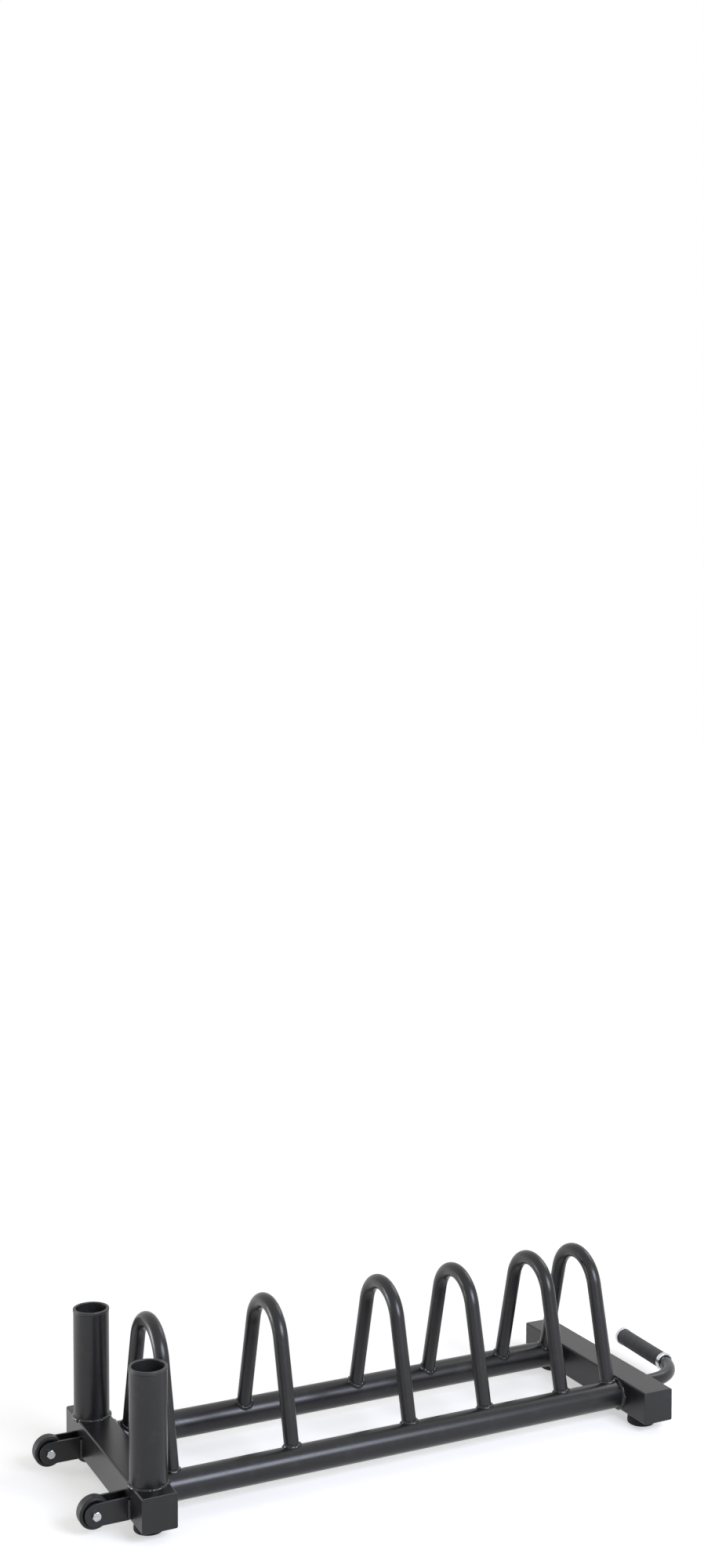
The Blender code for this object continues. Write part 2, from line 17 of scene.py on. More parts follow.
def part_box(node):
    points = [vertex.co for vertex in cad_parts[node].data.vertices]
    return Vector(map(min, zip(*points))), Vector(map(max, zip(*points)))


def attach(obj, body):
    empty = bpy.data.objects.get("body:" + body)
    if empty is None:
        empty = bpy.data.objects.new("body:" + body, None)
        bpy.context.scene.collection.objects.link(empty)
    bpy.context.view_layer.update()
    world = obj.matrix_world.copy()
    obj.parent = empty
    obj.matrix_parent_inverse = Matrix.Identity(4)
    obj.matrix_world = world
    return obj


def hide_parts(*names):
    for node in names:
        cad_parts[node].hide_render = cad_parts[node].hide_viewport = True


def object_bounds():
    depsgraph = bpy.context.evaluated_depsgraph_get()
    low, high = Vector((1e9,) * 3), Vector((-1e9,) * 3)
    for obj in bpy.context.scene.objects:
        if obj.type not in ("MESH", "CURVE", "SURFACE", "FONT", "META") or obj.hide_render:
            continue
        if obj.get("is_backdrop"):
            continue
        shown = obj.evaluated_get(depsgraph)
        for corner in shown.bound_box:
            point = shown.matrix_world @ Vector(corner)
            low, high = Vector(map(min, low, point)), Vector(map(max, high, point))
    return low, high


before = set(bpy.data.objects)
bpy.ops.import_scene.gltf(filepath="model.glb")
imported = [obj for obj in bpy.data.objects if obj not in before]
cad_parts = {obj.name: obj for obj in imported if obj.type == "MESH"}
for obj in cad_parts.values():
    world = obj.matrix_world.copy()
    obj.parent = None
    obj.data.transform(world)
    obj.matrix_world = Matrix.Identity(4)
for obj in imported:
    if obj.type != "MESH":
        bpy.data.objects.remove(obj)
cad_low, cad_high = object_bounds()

# %% [markdown]
# ## One way to add a node
# Materials and Geometry Nodes trees are both graphs. One small function adds a node, sets
# its options, and gives each input either a value or the socket that feeds it. A graph then
# reads from top to bottom like a recipe. Colours are written as the sRGB hex codes that a
# paint programme shows, and one function turns them into the linear values a shader needs.

# %% The node helper and the colour helper
MM = 0.001


def add(tree, kind, inputs=None, **options):
    """Adds a node with options. An input takes a value or the socket that feeds it."""
    made = tree.nodes.new(kind)
    for option, value in options.items():
        setattr(made, option, value)
    for key, value in (inputs or {}).items():
        found = [socket for socket in made.inputs if socket.identifier == key]
        socket = found[0] if found else made.inputs[key]
        if isinstance(value, bpy.types.NodeSocket):
            tree.links.new(value, socket)
        else:
            socket.default_value = value
    return made


def linear(code):
    """Turns an sRGB hex colour such as 1c1c1e into linear RGBA."""
    channels = []
    for start in (0, 2, 4):
        value = int(code[start:start + 2], 16) / 255
        channels.append(value / 12.92 if value <= 0.04045 else ((value + 0.055) / 1.055) ** 2.4)
    return (*channels, 1.0)


def new_surface(name):
    """Starts a material, with the Object coordinates that its patterns are laid out by."""
    material = bpy.data.materials.new(name)
    material.use_nodes = True
    tree = material.node_tree
    tree.nodes.clear()
    return material, tree, add(tree, "ShaderNodeTexCoord").outputs["Object"]


print("sRGB grey 808080 in linear light:", round(linear("808080")[0], 3))

# %% [markdown]
# ## What all the finishes share
# No real surface has one flat colour, so every finish starts from soft patches of two near
# shades, mixed by a noise texture. Every finish also ends alike: a height makes the fine
# bumps, and one Principled shader takes colour, roughness and bumps. Both steps are
# written once, and each finish below adds what is its own.

# %% Patches and skins
PATCH_LOW, PATCH_HIGH = 0.35, 0.65  # nearly all of a noise lies between these


def patches(tree, where, size, detail, one, other, low=PATCH_LOW, high=PATCH_HIGH, swirl=0.0):
    """Soft patches of two shades. Returns the noise, the share of the other and the colour."""
    cloud = add(tree, "ShaderNodeTexNoise",
                {"Vector": where, "Scale": 1 / size, "Detail": detail, "Distortion": swirl})
    share = add(tree, "ShaderNodeMapRange",
                {"Value": cloud.outputs["Fac"], "From Min": low, "From Max": high})
    colour = add(tree, "ShaderNodeMix",
                 {"Factor_Float": share.outputs["Result"], "A_Color": one, "B_Color": other},
                 data_type="RGBA")
    return cloud.outputs["Fac"], share.outputs["Result"], colour.outputs[2]


def skin(tree, height, strength, depth, shader_inputs):
    """Ends a material: bumps as deep as given, one shader and the output."""
    bump = add(tree, "ShaderNodeBump", {"Height": height, "Strength": strength, "Distance": depth})
    shader = add(tree, "ShaderNodeBsdfPrincipled", {"Normal": bump.outputs["Normal"], **shader_inputs})
    add(tree, "ShaderNodeOutputMaterial", {"Surface": shader.outputs[0]})


print("patches fade from", PATCH_LOW, "to", PATCH_HIGH)

# %% [markdown]
# ## Powder coat
# The frame is blasted steel, coated with black polyester powder that melts into a skin
# 0.08 mm thick. It gives the eye a satin black: soft highlights, a fine orange peel inside
# them, and faint dull smudges where hands have been. Shades, smudges and peel each come
# from a noise texture of their own size, and a fourth makes the gloss uneven. Real peel is
# 1 mm across; it is drawn at 1.8 mm, because finer grain wouldn't show in a view of the rack.

# %% Powder coat
SHADE_SIZE = 90 * MM
SMUDGE_SIZE = 28 * MM
GRAIN_SIZE = 4 * MM
PEEL_SIZE = 1.8 * MM
SMUDGE_FROM, SMUDGE_TO = 0.55, 0.75
SMUDGE_SWIRL = 0.7
SMUDGE_SHADE = "242424"
SMUDGE_DULLING = 0.04
GLOSS_SPREAD = 0.02
# Polyester resin has an IOR of about 1.5. The coat is full of fine matting powder and
# mirrors less than that, and 1.46 gives the deep black between the highlights.
COAT_IOR = 1.46


def powder_coat(name, dark, light, roughness, peel_depth):
    """Satin black powder coat, with orange peel of the given depth."""
    material, tree, where = new_surface(name)
    _, _, shade = patches(tree, where, SHADE_SIZE, 3.0, linear(dark), linear(light))
    _, smudge, colour = patches(tree, where, SMUDGE_SIZE, 5.0, shade, linear(SMUDGE_SHADE),
                                SMUDGE_FROM, SMUDGE_TO, SMUDGE_SWIRL)
    grain = add(tree, "ShaderNodeTexNoise", {"Vector": where, "Scale": 1 / GRAIN_SIZE, "Detail": 4.0})
    gloss = add(tree, "ShaderNodeMapRange",
                {"Value": grain.outputs["Fac"], "From Min": PATCH_LOW, "From Max": PATCH_HIGH,
                 "To Min": roughness - GLOSS_SPREAD, "To Max": roughness + GLOSS_SPREAD})
    dulled = add(tree, "ShaderNodeMath",
                 {0: smudge, 1: SMUDGE_DULLING, 2: gloss.outputs["Result"]}, operation="MULTIPLY_ADD")
    peel = add(tree, "ShaderNodeTexNoise", {"Vector": where, "Scale": 1 / PEEL_SIZE, "Detail": 2.0})
    skin(tree, peel.outputs["Fac"], 0.6, peel_depth,
         {"Base Color": colour, "Roughness": dulled.outputs[0], "IOR": COAT_IOR})
    return material


coat = powder_coat("powder_coat_satin_black", "151516", "1b1b1d", 0.30, 0.045 * MM)
# Powder pools on the round of a weld and runs smooth there, so it glistens.
weld_coat = powder_coat("powder_coat_pooled_on_welds", "151516", "1b1b1c", 0.16, 0.08 * MM)
print("powder coats:", coat.name, weld_coat.name)

# %% [markdown]
# ## Moulded rubber, nylon and polyethylene
# Feet and grip are rubber, the wheels nylon, the liners and the plug polyethylene. All of
# them copy the skin of their mould, which is finely textured, and differ mostly in gloss.
# So one recipe serves them: two near shades in soft patches, and one fine texture that
# makes both the gloss and the height uneven.

# %% Moulded surfaces
CLOUD_SIZE = 25 * MM
MOULD_SPREAD = 0.06


def moulded(name, dark, light, roughness, texture_size, depth, ior=1.5):
    """Moulded plastic or rubber: two near shades, an even texture and a soft sheen."""
    material, tree, where = new_surface(name)
    _, _, colour = patches(tree, where, CLOUD_SIZE, 3.0, linear(dark), linear(light))
    texture = add(tree, "ShaderNodeTexNoise", {"Vector": where, "Scale": 1 / texture_size, "Detail": 3.0})
    gloss = add(tree, "ShaderNodeMapRange",
                {"Value": texture.outputs["Fac"], "From Min": PATCH_LOW, "From Max": PATCH_HIGH,
                 "To Min": roughness - MOULD_SPREAD, "To Max": roughness + MOULD_SPREAD})
    skin(tree, texture.outputs["Fac"], 0.5, depth,
         {"Base Color": colour, "Roughness": gloss.outputs["Result"], "IOR": ior})
    return material


# Real foam rubber has pores of 0.3 mm, drawn at 1.2 mm so that they show: a dull grey bloom.
grip_rubber = moulded("foam_rubber_matt", "474747", "545454", 0.75, 1.2 * MM, 0.14 * MM, 1.4)
# Solid moulded rubber: the darkest piece, with a dull sheen.
foot_rubber = moulded("moulded_rubber", "0e0e0e", "151515", 0.62, 1.6 * MM, 0.08 * MM, 1.35)
# Glass filled nylon: a dry satin skin that shows as a broad grey sheen on the tread.
nylon = moulded("moulded_nylon", "171718", "202021", 0.42, 2.5 * MM, 0.05 * MM, 1.40)
# Polyethylene: waxy, a little lighter than the steel beside it.
polyethylene = moulded("moulded_polyethylene", "212122", "2b2b2c", 0.40, 2.0 * MM, 0.05 * MM)
print("moulded:", grip_rubber.name, foot_rubber.name, nylon.name, polyethylene.name)

# %% [markdown]
# ## Bare metal
# Bolts, nuts and screws are zinc plated, which gives a bright grey with a cloudy bloom. The
# rings at the grip are turned from aluminium. A tool that feeds 0.1 mm a turn leaves rings
# too fine to see, so they are drawn 0.8 mm apart, as a sine wave along the axis of turning.

# %% Bare metal
BRIGHTER, DULLER = 0.05, 0.07
METAL_RELIEF = 0.02 * MM


def bare_metal(name, light, dark, roughness, blotch_size, ring_size=None, axis=None):
    """Bare metal with faint blotches, and turning rings along an axis if one is given."""
    material, tree, where = new_surface(name)
    height, _, colour = patches(tree, where, blotch_size, 4.0, linear(light), linear(dark))
    gloss = add(tree, "ShaderNodeMapRange",
                {"Value": height, "From Min": PATCH_LOW, "From Max": PATCH_HIGH,
                 "To Min": roughness - BRIGHTER, "To Max": roughness + DULLER})
    if ring_size:
        along = add(tree, "ShaderNodeVectorMath", {0: where, 1: axis}, operation="DOT_PRODUCT")
        rings = add(tree, "ShaderNodeMath",
                    {0: along.outputs["Value"], 1: 2 * math.pi / ring_size}, operation="MULTIPLY")
        height = add(tree, "ShaderNodeMath", {0: rings.outputs[0]}, operation="SINE").outputs[0]
    skin(tree, height, 0.3, METAL_RELIEF,
         {"Base Color": colour, "Metallic": 1.0, "Roughness": gloss.outputs["Result"]})
    return material


zinc = bare_metal("zinc_plated_steel", "c9cbcc", "a9adb0", 0.30, 3 * MM)
print("bare metal:", zinc.name)

# %% [markdown]
# ## Turned shapes
# Most pieces are round about an axis, so each is made as on a lathe: a profile is carried
# round the axis. Its corners are rounded first, because a real edge is never perfectly
# sharp, and it is the rounding that catches the light. The corners are given as (across,
# up, radius) and replaced by short arcs; then each point becomes a ring of vertices.

# %% Rounded profiles and turned shapes
TINY = 1e-7
X_AXIS, Y_AXIS, Z_AXIS = (1.0, 0.0, 0.0), (0.0, 1.0, 0.0), (0.0, 0.0, 1.0)


def rounded(corners, steps=5, closed=True):
    """Rounds the corners (across, up, radius) of a flat outline, all lengths in metres."""
    points = []
    count = len(corners)
    for index, (across, up, radius) in enumerate(corners):
        here = Vector((across, up))
        at_end = index in (0, count - 1) and not closed
        if radius <= 0.0 or at_end:
            points.append(here)
            continue
        back = Vector(corners[index - 1][:2]) - here
        on = Vector(corners[(index + 1) % count][:2]) - here
        back.normalize()
        on.normalize()
        half = back.angle(on) / 2
        reach = radius / math.tan(half)
        centre = here + (back + on).normalized() * radius / math.sin(half)
        first = here + back * reach - centre
        last = here + on * reach - centre
        sweep = first.angle_signed(last)
        for step in range(steps + 1):
            spoke = Matrix.Rotation(-sweep * step / steps, 2) @ first
            points.append(centre + spoke)
    return [(point.x, point.y) for point in points]


def turned(profile, steps, closed=True):
    """Turns a profile of (radius, height) points about Z and returns a bmesh."""
    form = bmesh.new()
    rings = []
    for radius, height in profile:
        if radius < TINY:
            rings.append([form.verts.new((0.0, 0.0, height))])
            continue
        ring = []
        for step in range(steps):
            angle = 2 * math.pi * step / steps
            ring.append(form.verts.new((radius * math.cos(angle), radius * math.sin(angle), height)))
        rings.append(ring)
    pairs = list(zip(rings, rings[1:]))
    if closed:
        pairs.append((rings[-1], rings[0]))
    for low, high in pairs:
        for step in range(steps):
            after = (step + 1) % steps
            face = [low[step % len(low)], low[after % len(low)]]
            face += [high[after % len(high)], high[step % len(high)]]
            form.faces.new(list(dict.fromkeys(face)))
    bmesh.ops.recalc_face_normals(form, faces=form.faces)
    return form


print("points of a rounded square:", len(rounded([(0, 0, 1), (9, 0, 1), (9, 9, 1), (0, 9, 1)])))

# %% [markdown]
# ## From a shape to a finished piece
# A flat face beside a rounded edge shades wrongly if every corner averages its neighbours
# alike. The Weighted Normal modifier lets the large face win, so flats stay flat and only
# the rounding bends the light. A piece's place is in its mesh, so that its object sits at
# the origin like a CAD piece and its pattern doesn't slide.

# %% Making pieces
SHARP_DEG = 40.0
finished = []


def in_scene(name, data):
    """Puts a mesh, a curve, a lamp or a camera in the scene as an object."""
    item = bpy.data.objects.new(name, data)
    bpy.context.scene.collection.objects.link(item)
    return item


def draft_mesh(name, form):
    """Turns a bmesh into a mesh."""
    mesh = bpy.data.meshes.new(name)
    form.to_mesh(mesh)
    form.free()
    return mesh


def plain_mesh(holder):
    """Returns the evaluated mesh of a draft object and removes the draft."""
    graph = bpy.context.evaluated_depsgraph_get()
    mesh = bpy.data.meshes.new_from_object(holder.evaluated_get(graph), depsgraph=graph)
    bpy.data.objects.remove(holder)
    return mesh


def shaded_mesh(name, form, sharp_deg=SHARP_DEG):
    """Turns a bmesh into a smooth mesh whose flat faces stay flat."""
    mesh = draft_mesh(name, form)
    mesh.shade_smooth()
    mesh.set_sharp_from_angle(angle=math.radians(sharp_deg))
    holder = in_scene(name + "_draft", mesh)
    weigh = holder.modifiers.new("Flat faces first", "WEIGHTED_NORMAL")
    weigh.keep_sharp = True
    result = plain_mesh(holder)
    result.name = name
    return result


def placed(form, place, axis=Z_AXIS, spin=0.0):
    """Stands a bmesh, built along Z, at a place with its Z along an axis."""
    turn = Vector(Z_AXIS).rotation_difference(Vector(axis)).to_matrix().to_4x4()
    matrix = Matrix.Translation(Vector(place)) @ turn @ Matrix.Rotation(spin, 4, "Z")
    bmesh.ops.transform(form, matrix=matrix, verts=form.verts)
    return form


def finish_piece(mesh, material, nodes=(), body="frame"):
    """Puts a mesh in the scene as a piece that rides on a body and stands for CAD nodes."""
    piece = in_scene(mesh.name, mesh)
    mesh.materials.clear()
    mesh.materials.append(material)
    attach(piece, body)
    if nodes:
        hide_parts(*nodes)
    finished.append(piece)


def finish_form(node, ending, form, material, body="frame", sharp_deg=SHARP_DEG):
    """Finishes a bmesh as the piece that stands for one CAD node."""
    finish_piece(shaded_mesh(node + ending, form, sharp_deg), material, [node], body)


def middle_and_size(node):
    """The middle and the size of a CAD node's box."""
    low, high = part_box(node)
    return (low + high) / 2, high - low


def in_mm(lengths):
    """Lengths in millimetres, for printing."""
    return [round(length / MM, 1) for length in lengths]


print("CAD box in mm:", in_mm(cad_high - cad_low))

# %% [markdown]
# ## Cross beams and their end caps
# Each cross beam is a length of box tube with rounded corners. A plate is welded over each
# end and ground flush, so under the coat the two look like one. The box is bevelled along
# its length only and runs on through the weld to the plate. The plate gets the same round
# corners, and a small one round its outer rim, which draws the light line along the ends.

# %% Beams and caps
BEAM_CORNER = 3 * MM
CAP_RIM = 1.0 * MM
CAP_SHARP_DEG = 60.0
SEAT_GAP = 0.3 * MM  # the CAD pieces lie this far apart at a weld


def box_section(size):
    """A box about its middle with rounded corners along Y."""
    form = bmesh.new()
    bmesh.ops.create_cube(form, size=1.0)
    bmesh.ops.scale(form, vec=size, verts=form.verts)
    edges = [edge for edge in form.edges if abs(edge.verts[1].co.y - edge.verts[0].co.y) > TINY]
    bmesh.ops.bevel(form, geom=edges, offset=BEAM_CORNER, segments=6, profile=0.5, affect="EDGES")
    return form


for end in ("wheel_end", "handle_end"):
    node = "beam_" + end
    middle, size = middle_and_size(node)
    form = placed(box_section(size + Vector((0.0, 2 * SEAT_GAP, 0.0))), middle)
    finish_form(node, "_tube", form, coat)
    for side in ("near", "far"):
        cap_node = "%s_cap_%s" % (node, side)
        middle, size = middle_and_size(cap_node)
        form = placed(box_section(size), middle)
        outer_y = max(abs(vert.co.y) for vert in form.verts)
        rims = [edge for edge in form.edges
                if min(abs(vert.co.y) for vert in edge.verts) > outer_y - TINY]
        bmesh.ops.bevel(form, geom=rims, offset=CAP_RIM, segments=3, profile=0.5, affect="EDGES")
        finish_form(cap_node, "_plate", form, coat, sharp_deg=CAP_SHARP_DEG)
    print(node, "cap in mm:", in_mm(size))

# %% [markdown]
# ## Rails
# Two round tubes run between the beams. Their highlight is one long line, and every flat
# would show in it, so they are turned with 96 sides, as all the larger rounds are. They
# are real tubes with a wall.

# %% Rails
RAIL_WALL = 2.5 * MM
ROUND_SIDES = 96
rail_middle = {}
for side in ("near", "far"):
    node = "rail_" + side
    middle, size = middle_and_size(node)
    rail_middle[side] = middle
    rail_radius = size.z / 2
    rail_half = size.x / 2
    profile = [(rail_radius, rail_half), (rail_radius, -rail_half),
               (rail_radius - RAIL_WALL, -rail_half), (rail_radius - RAIL_WALL, rail_half)]
    form = placed(turned(profile, ROUND_SIDES), middle, X_AXIS)
    finish_form(node, "_tube", form, coat)
print("rail in mm:", in_mm(size))

# %% [markdown]
# ## Bent tube by Geometry Nodes
# A tube bender is fed straight tube and lays a round bend of a set radius where two runs
# meet. This tree does the same: it takes the straight runs as a curve, rounds each corner
# with Fillet Curve and sweeps a circle along the result. Tube radius, bend radius and
# fineness are inputs, so hoops and handle come from one tree.

# %% Starting, ending and running a tree
def new_tree(name, sizes):
    """Starts a Geometry Nodes tree with named inputs. A whole number makes a count."""
    tree = bpy.data.node_groups.new(name, "GeometryNodeTree")
    face = tree.interface
    face.new_socket("Geometry", in_out="INPUT", socket_type="NodeSocketGeometry")
    face.new_socket("Geometry", in_out="OUTPUT", socket_type="NodeSocketGeometry")
    for label, value in sizes.items():
        kind = "NodeSocketInt" if isinstance(value, int) else "NodeSocketFloat"
        face.new_socket(label, in_out="INPUT", socket_type=kind).default_value = value
    face.new_socket("Material", in_out="INPUT", socket_type="NodeSocketMaterial")
    return tree, add(tree, "NodeGroupInput").outputs


def sweep_tree(tree, given, path, sides, radius, scale=1.0):
    """Sweeps a round along a path, and ends in Realize Instances and Set Material."""
    section = add(tree, "GeometryNodeCurvePrimitiveCircle",
                  {"Resolution": sides, "Radius": radius}, mode="RADIUS")
    swept = add(tree, "GeometryNodeCurveToMesh",
                {"Curve": path, "Profile Curve": section.outputs[0], "Scale": scale, "Fill Caps": True})
    soft = add(tree, "GeometryNodeSetShadeSmooth", {"Geometry": swept.outputs[0]})
    real = add(tree, "GeometryNodeRealizeInstances", {"Geometry": soft.outputs[0]})
    dressed = add(tree, "GeometryNodeSetMaterial",
                  {"Geometry": real.outputs[0], "Material": given["Material"]})
    add(tree, "NodeGroupOutput", {"Geometry": dressed.outputs[0]})


def runs(name, lines, cyclic=False):
    """A curve of straight runs, one spline for each line of points."""
    curve = bpy.data.curves.new(name, "CURVE")
    curve.dimensions = "3D"
    for line in lines:
        spline = curve.splines.new("POLY")
        spline.points.add(len(line) - 1)
        spline.use_cyclic_u = cyclic
        for point, place in zip(spline.points, line):
            point.co = (*place, 1.0)
    return curve


def grown(name, lines, tree, values, cyclic=False):
    """Runs a tree on a curve with the given input values and returns a plain mesh."""
    holder = in_scene(name + "_draft", runs(name, lines, cyclic))
    modifier = holder.modifiers.new("Grow", "NODES")
    modifier.node_group = tree
    for item in tree.interface.items_tree:
        if item.item_type == "SOCKET" and item.in_out == "INPUT" and item.name in values:
            modifier[item.identifier] = values[item.name]
    mesh = plain_mesh(holder)
    mesh.name = name
    return mesh


# %% The bent tube tree
bent_tube, given = new_tree("bent_tube", {
    "Tube radius": 12.5 * MM, "Bend radius": 60 * MM, "Bend steps": 48, "Sides": 48})
bends = add(bent_tube, "GeometryNodeFilletCurve",
            {"Curve": given["Geometry"], "Count": given["Bend steps"],
             "Radius": given["Bend radius"]}, mode="POLY")
sweep_tree(bent_tube, given, bends.outputs[0], given["Sides"], given["Tube radius"])
print("bent tube tree:", len(bent_tube.nodes), "nodes")

# %% [markdown]
# ## Hoops
# Six hoops stand on the rails and divide the rack into slots. Each is one tube with a round
# crown and two legs that lean in. A fabricator notches the foot of each leg to the round of
# the rail, so that it sits without a gap. Here the leg runs on into the rail, and a Boolean
# cuts the rail's shape out of it, which leaves the same saddle.

# %% The shape that notches the hoops
HOOP_BEND = 60 * MM
HOOP_FOOT_INSET = 3 * MM


def joined(forms):
    """Several bmeshes as one."""
    whole = bmesh.new()
    for form in forms:
        mesh = draft_mesh("join_draft", form)
        whole.from_mesh(mesh)
        bpy.data.meshes.remove(mesh)
    return whole


def cut_with(holder, tool, operation):
    """Runs an exact Boolean between two drafts and returns the plain mesh."""
    cut = holder.modifiers.new("Cut", "BOOLEAN")
    cut.operation = operation
    cut.solver = "EXACT"
    cut.object = tool
    return plain_mesh(holder)


rods = []
for side in ("near", "far"):
    rod = turned([(0.0, cad_high.x), (rail_radius + SEAT_GAP, cad_high.x),
                  (rail_radius + SEAT_GAP, cad_low.x), (0.0, cad_low.x)], ROUND_SIDES, closed=False)
    rods.append(placed(rod, (0.0, rail_middle[side].y, rail_middle[side].z), X_AXIS))
notch = in_scene("notch_draft", draft_mesh("notch_draft", joined(rods)))
print("rods that notch the hoops:", len(rods))

# %% Hoops
rail_axis_z = rail_middle["near"].z
foot_y = rail_middle["far"].y - HOOP_FOOT_INSET
hoop_x = []
for node in sorted(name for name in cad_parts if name.startswith("hoop_")):
    middle, size = middle_and_size(node)
    hoop_radius = size.x / 2
    centre_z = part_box(node)[1].z - hoop_radius - HOOP_BEND
    reach = Vector((foot_y, rail_axis_z - centre_z))
    lean = math.atan2(reach.y, reach.x) + math.acos(HOOP_BEND / reach.length)
    apex_z = centre_z + HOOP_BEND / math.sin(lean)
    line = [(middle.x, -foot_y, rail_axis_z), (middle.x, 0.0, apex_z), (middle.x, foot_y, rail_axis_z)]
    blank = grown(node + "_blank", [line], bent_tube,
                  {"Tube radius": hoop_radius, "Bend radius": HOOP_BEND, "Material": coat})
    mesh = cut_with(in_scene(node + "_draft", blank), notch, "DIFFERENCE")
    mesh.name = node + "_tube"
    mesh.set_sharp_from_angle(angle=math.radians(SHARP_DEG))
    finish_piece(mesh, coat, [node])
    hoop_x.append(middle.x)
bpy.data.objects.remove(notch)
print("hoops:", len(hoop_x), "lean in degrees:", round(math.degrees(lean), 1))

# %% [markdown]
# ## Weld beads by Geometry Nodes
# A welder lays a fillet as a row of small puddles, each partly over the last, so a bead has
# ripples. The hand is never quite steady, so it also swells and wanders. The powder then
# pools on it and makes it glossier than the flat steel. The tree takes a seam as a curve
# and cuts it into short steps. It divides the seam into a whole number of puddles, lets the
# bead shrink a little towards the end of each, makes it swell and wander by a noise with a
# fixed seed, and sweeps a circle along the seam.

# %% The weld bead tree
STEPS_PER_PUDDLE = 6.0
BEAD_SHARP_DEG = 80.0
weld_bead, given = new_tree("weld_bead", {
    "Bead radius": 3.0 * MM, "Puddle length": 2.6 * MM, "Ripple": 0.015,
    "Unevenness": 0.8, "Unevenness length": 7 * MM, "Wander": 1.6 * MM,
    "Sides": 16, "Seed": 1.0})
step_length = add(weld_bead, "ShaderNodeMath",
                  {0: given["Puddle length"], 1: STEPS_PER_PUDDLE}, operation="DIVIDE")
steps = add(weld_bead, "GeometryNodeResampleCurve",
            {"Curve": given["Geometry"], "Length": step_length.outputs[0]}, mode="LENGTH")
place = add(weld_bead, "GeometryNodeSplineParameter")
seam_length = add(weld_bead, "GeometryNodeSplineLength")
wanted = add(weld_bead, "ShaderNodeMath",
             {0: seam_length.outputs["Length"], 1: given["Puddle length"]}, operation="DIVIDE")
count = add(weld_bead, "ShaderNodeMath", {0: wanted.outputs[0]}, operation="ROUND")
puddle = add(weld_bead, "ShaderNodeMath",
             {0: place.outputs["Factor"], 1: count.outputs[0]}, operation="MULTIPLY")
phase = add(weld_bead, "ShaderNodeMath", {0: puddle.outputs[0]}, operation="FRACT")
arch = add(weld_bead, "ShaderNodeMath", {0: phase.outputs[0], 1: 2.0}, operation="POWER")
dip = add(weld_bead, "ShaderNodeMath", {0: arch.outputs[0], 1: given["Ripple"]}, operation="MULTIPLY")
spot = add(weld_bead, "GeometryNodeInputPosition")
fineness = add(weld_bead, "ShaderNodeMath",
               {0: 1.0, 1: given["Unevenness length"]}, operation="DIVIDE")
hand = add(weld_bead, "ShaderNodeTexNoise",
           {"Vector": spot.outputs[0], "W": given["Seed"], "Scale": fineness.outputs[0],
            "Detail": 1.0}, noise_dimensions="4D")
drift = add(weld_bead, "ShaderNodeVectorMath",
            {0: hand.outputs["Color"], 1: (0.5, 0.5, 0.5)}, operation="SUBTRACT")
shift = add(weld_bead, "ShaderNodeVectorMath",
            {0: drift.outputs[0], "Scale": given["Wander"]}, operation="SCALE")
wavering = add(weld_bead, "GeometryNodeSetPosition",
               {"Geometry": steps.outputs[0], "Offset": shift.outputs[0]})
centred = add(weld_bead, "ShaderNodeMath", {0: hand.outputs["Fac"], 1: 0.5}, operation="SUBTRACT")
swelling = add(weld_bead, "ShaderNodeMath",
               {0: centred.outputs[0], 1: given["Unevenness"], 2: 1.0}, operation="MULTIPLY_ADD")
width = add(weld_bead, "ShaderNodeMath",
            {0: swelling.outputs[0], 1: dip.outputs[0]}, operation="SUBTRACT")
sweep_tree(weld_bead, given, wavering.outputs[0], given["Sides"], given["Bead radius"],
           width.outputs[0])


def weld(name, seams, radius, seed, cyclic=True):
    """Lays a bead along each seam, as one piece."""
    mesh = grown(name, seams, weld_bead,
                 {"Bead radius": radius, "Seed": float(seed), "Material": weld_coat}, cyclic)
    mesh.set_sharp_from_angle(angle=math.radians(BEAD_SHARP_DEG))
    print(name, "seams:", len(seams), "faces:", len(mesh.polygons))
    finish_piece(mesh, weld_coat)


print("weld bead tree:", len(weld_bead.nodes), "nodes")

# %% [markdown]
# ## Welds at the hoops and the rails
# A foot meets its rail in a saddle: each point of the seam is where a line down the leg
# meets the rail's surface. A fillet is nearly flat across, not a round cord. So the middle
# of the bead is laid a little inside both surfaces, and only a shallow part of its round
# shows in the corner. A rail that stands square on the flat of a beam has a plain circle.

# %% Hoop and rail welds
SEAM_POINTS = 96
SEAM_IN = 1.2 * MM
HOOP_BEAD = 4.9 * MM
RAIL_BEAD = 5.5 * MM


def saddle(x, side_sign):
    """The seam where a hoop's leg meets its rail, a little inside both surfaces."""
    down = Vector((0.0, -side_sign * math.sin(lean), math.cos(lean)))
    across = Vector((0.0, math.cos(lean), side_sign * math.sin(lean)))
    foot = Vector((x, side_sign * foot_y, rail_axis_z))
    axis = Vector((x, side_sign * rail_middle["far"].y, rail_axis_z))
    ring = rail_radius - SEAM_IN
    seam = []
    for step in range(SEAM_POINTS):
        angle = 2 * math.pi * step / SEAM_POINTS
        spoke = Vector((math.cos(angle), 0.0, 0.0)) + across * math.sin(angle)
        start = foot + spoke * (hoop_radius - SEAM_IN) - axis
        flat = Vector((start.y, start.z))
        half = -flat.dot(Vector((down.y, down.z)))
        climb = half + math.sqrt(half * half - flat.length_squared + ring * ring)
        seam.append(axis + start + down * climb)
    return seam


def circle(centre, radius, axis):
    """A round seam about an axis."""
    turn = Vector(Z_AXIS).rotation_difference(Vector(axis))
    seam = []
    for step in range(SEAM_POINTS):
        angle = 2 * math.pi * step / SEAM_POINTS
        spoke = Vector((radius * math.cos(angle), radius * math.sin(angle), 0.0))
        seam.append(Vector(centre) + turn @ spoke)
    return seam


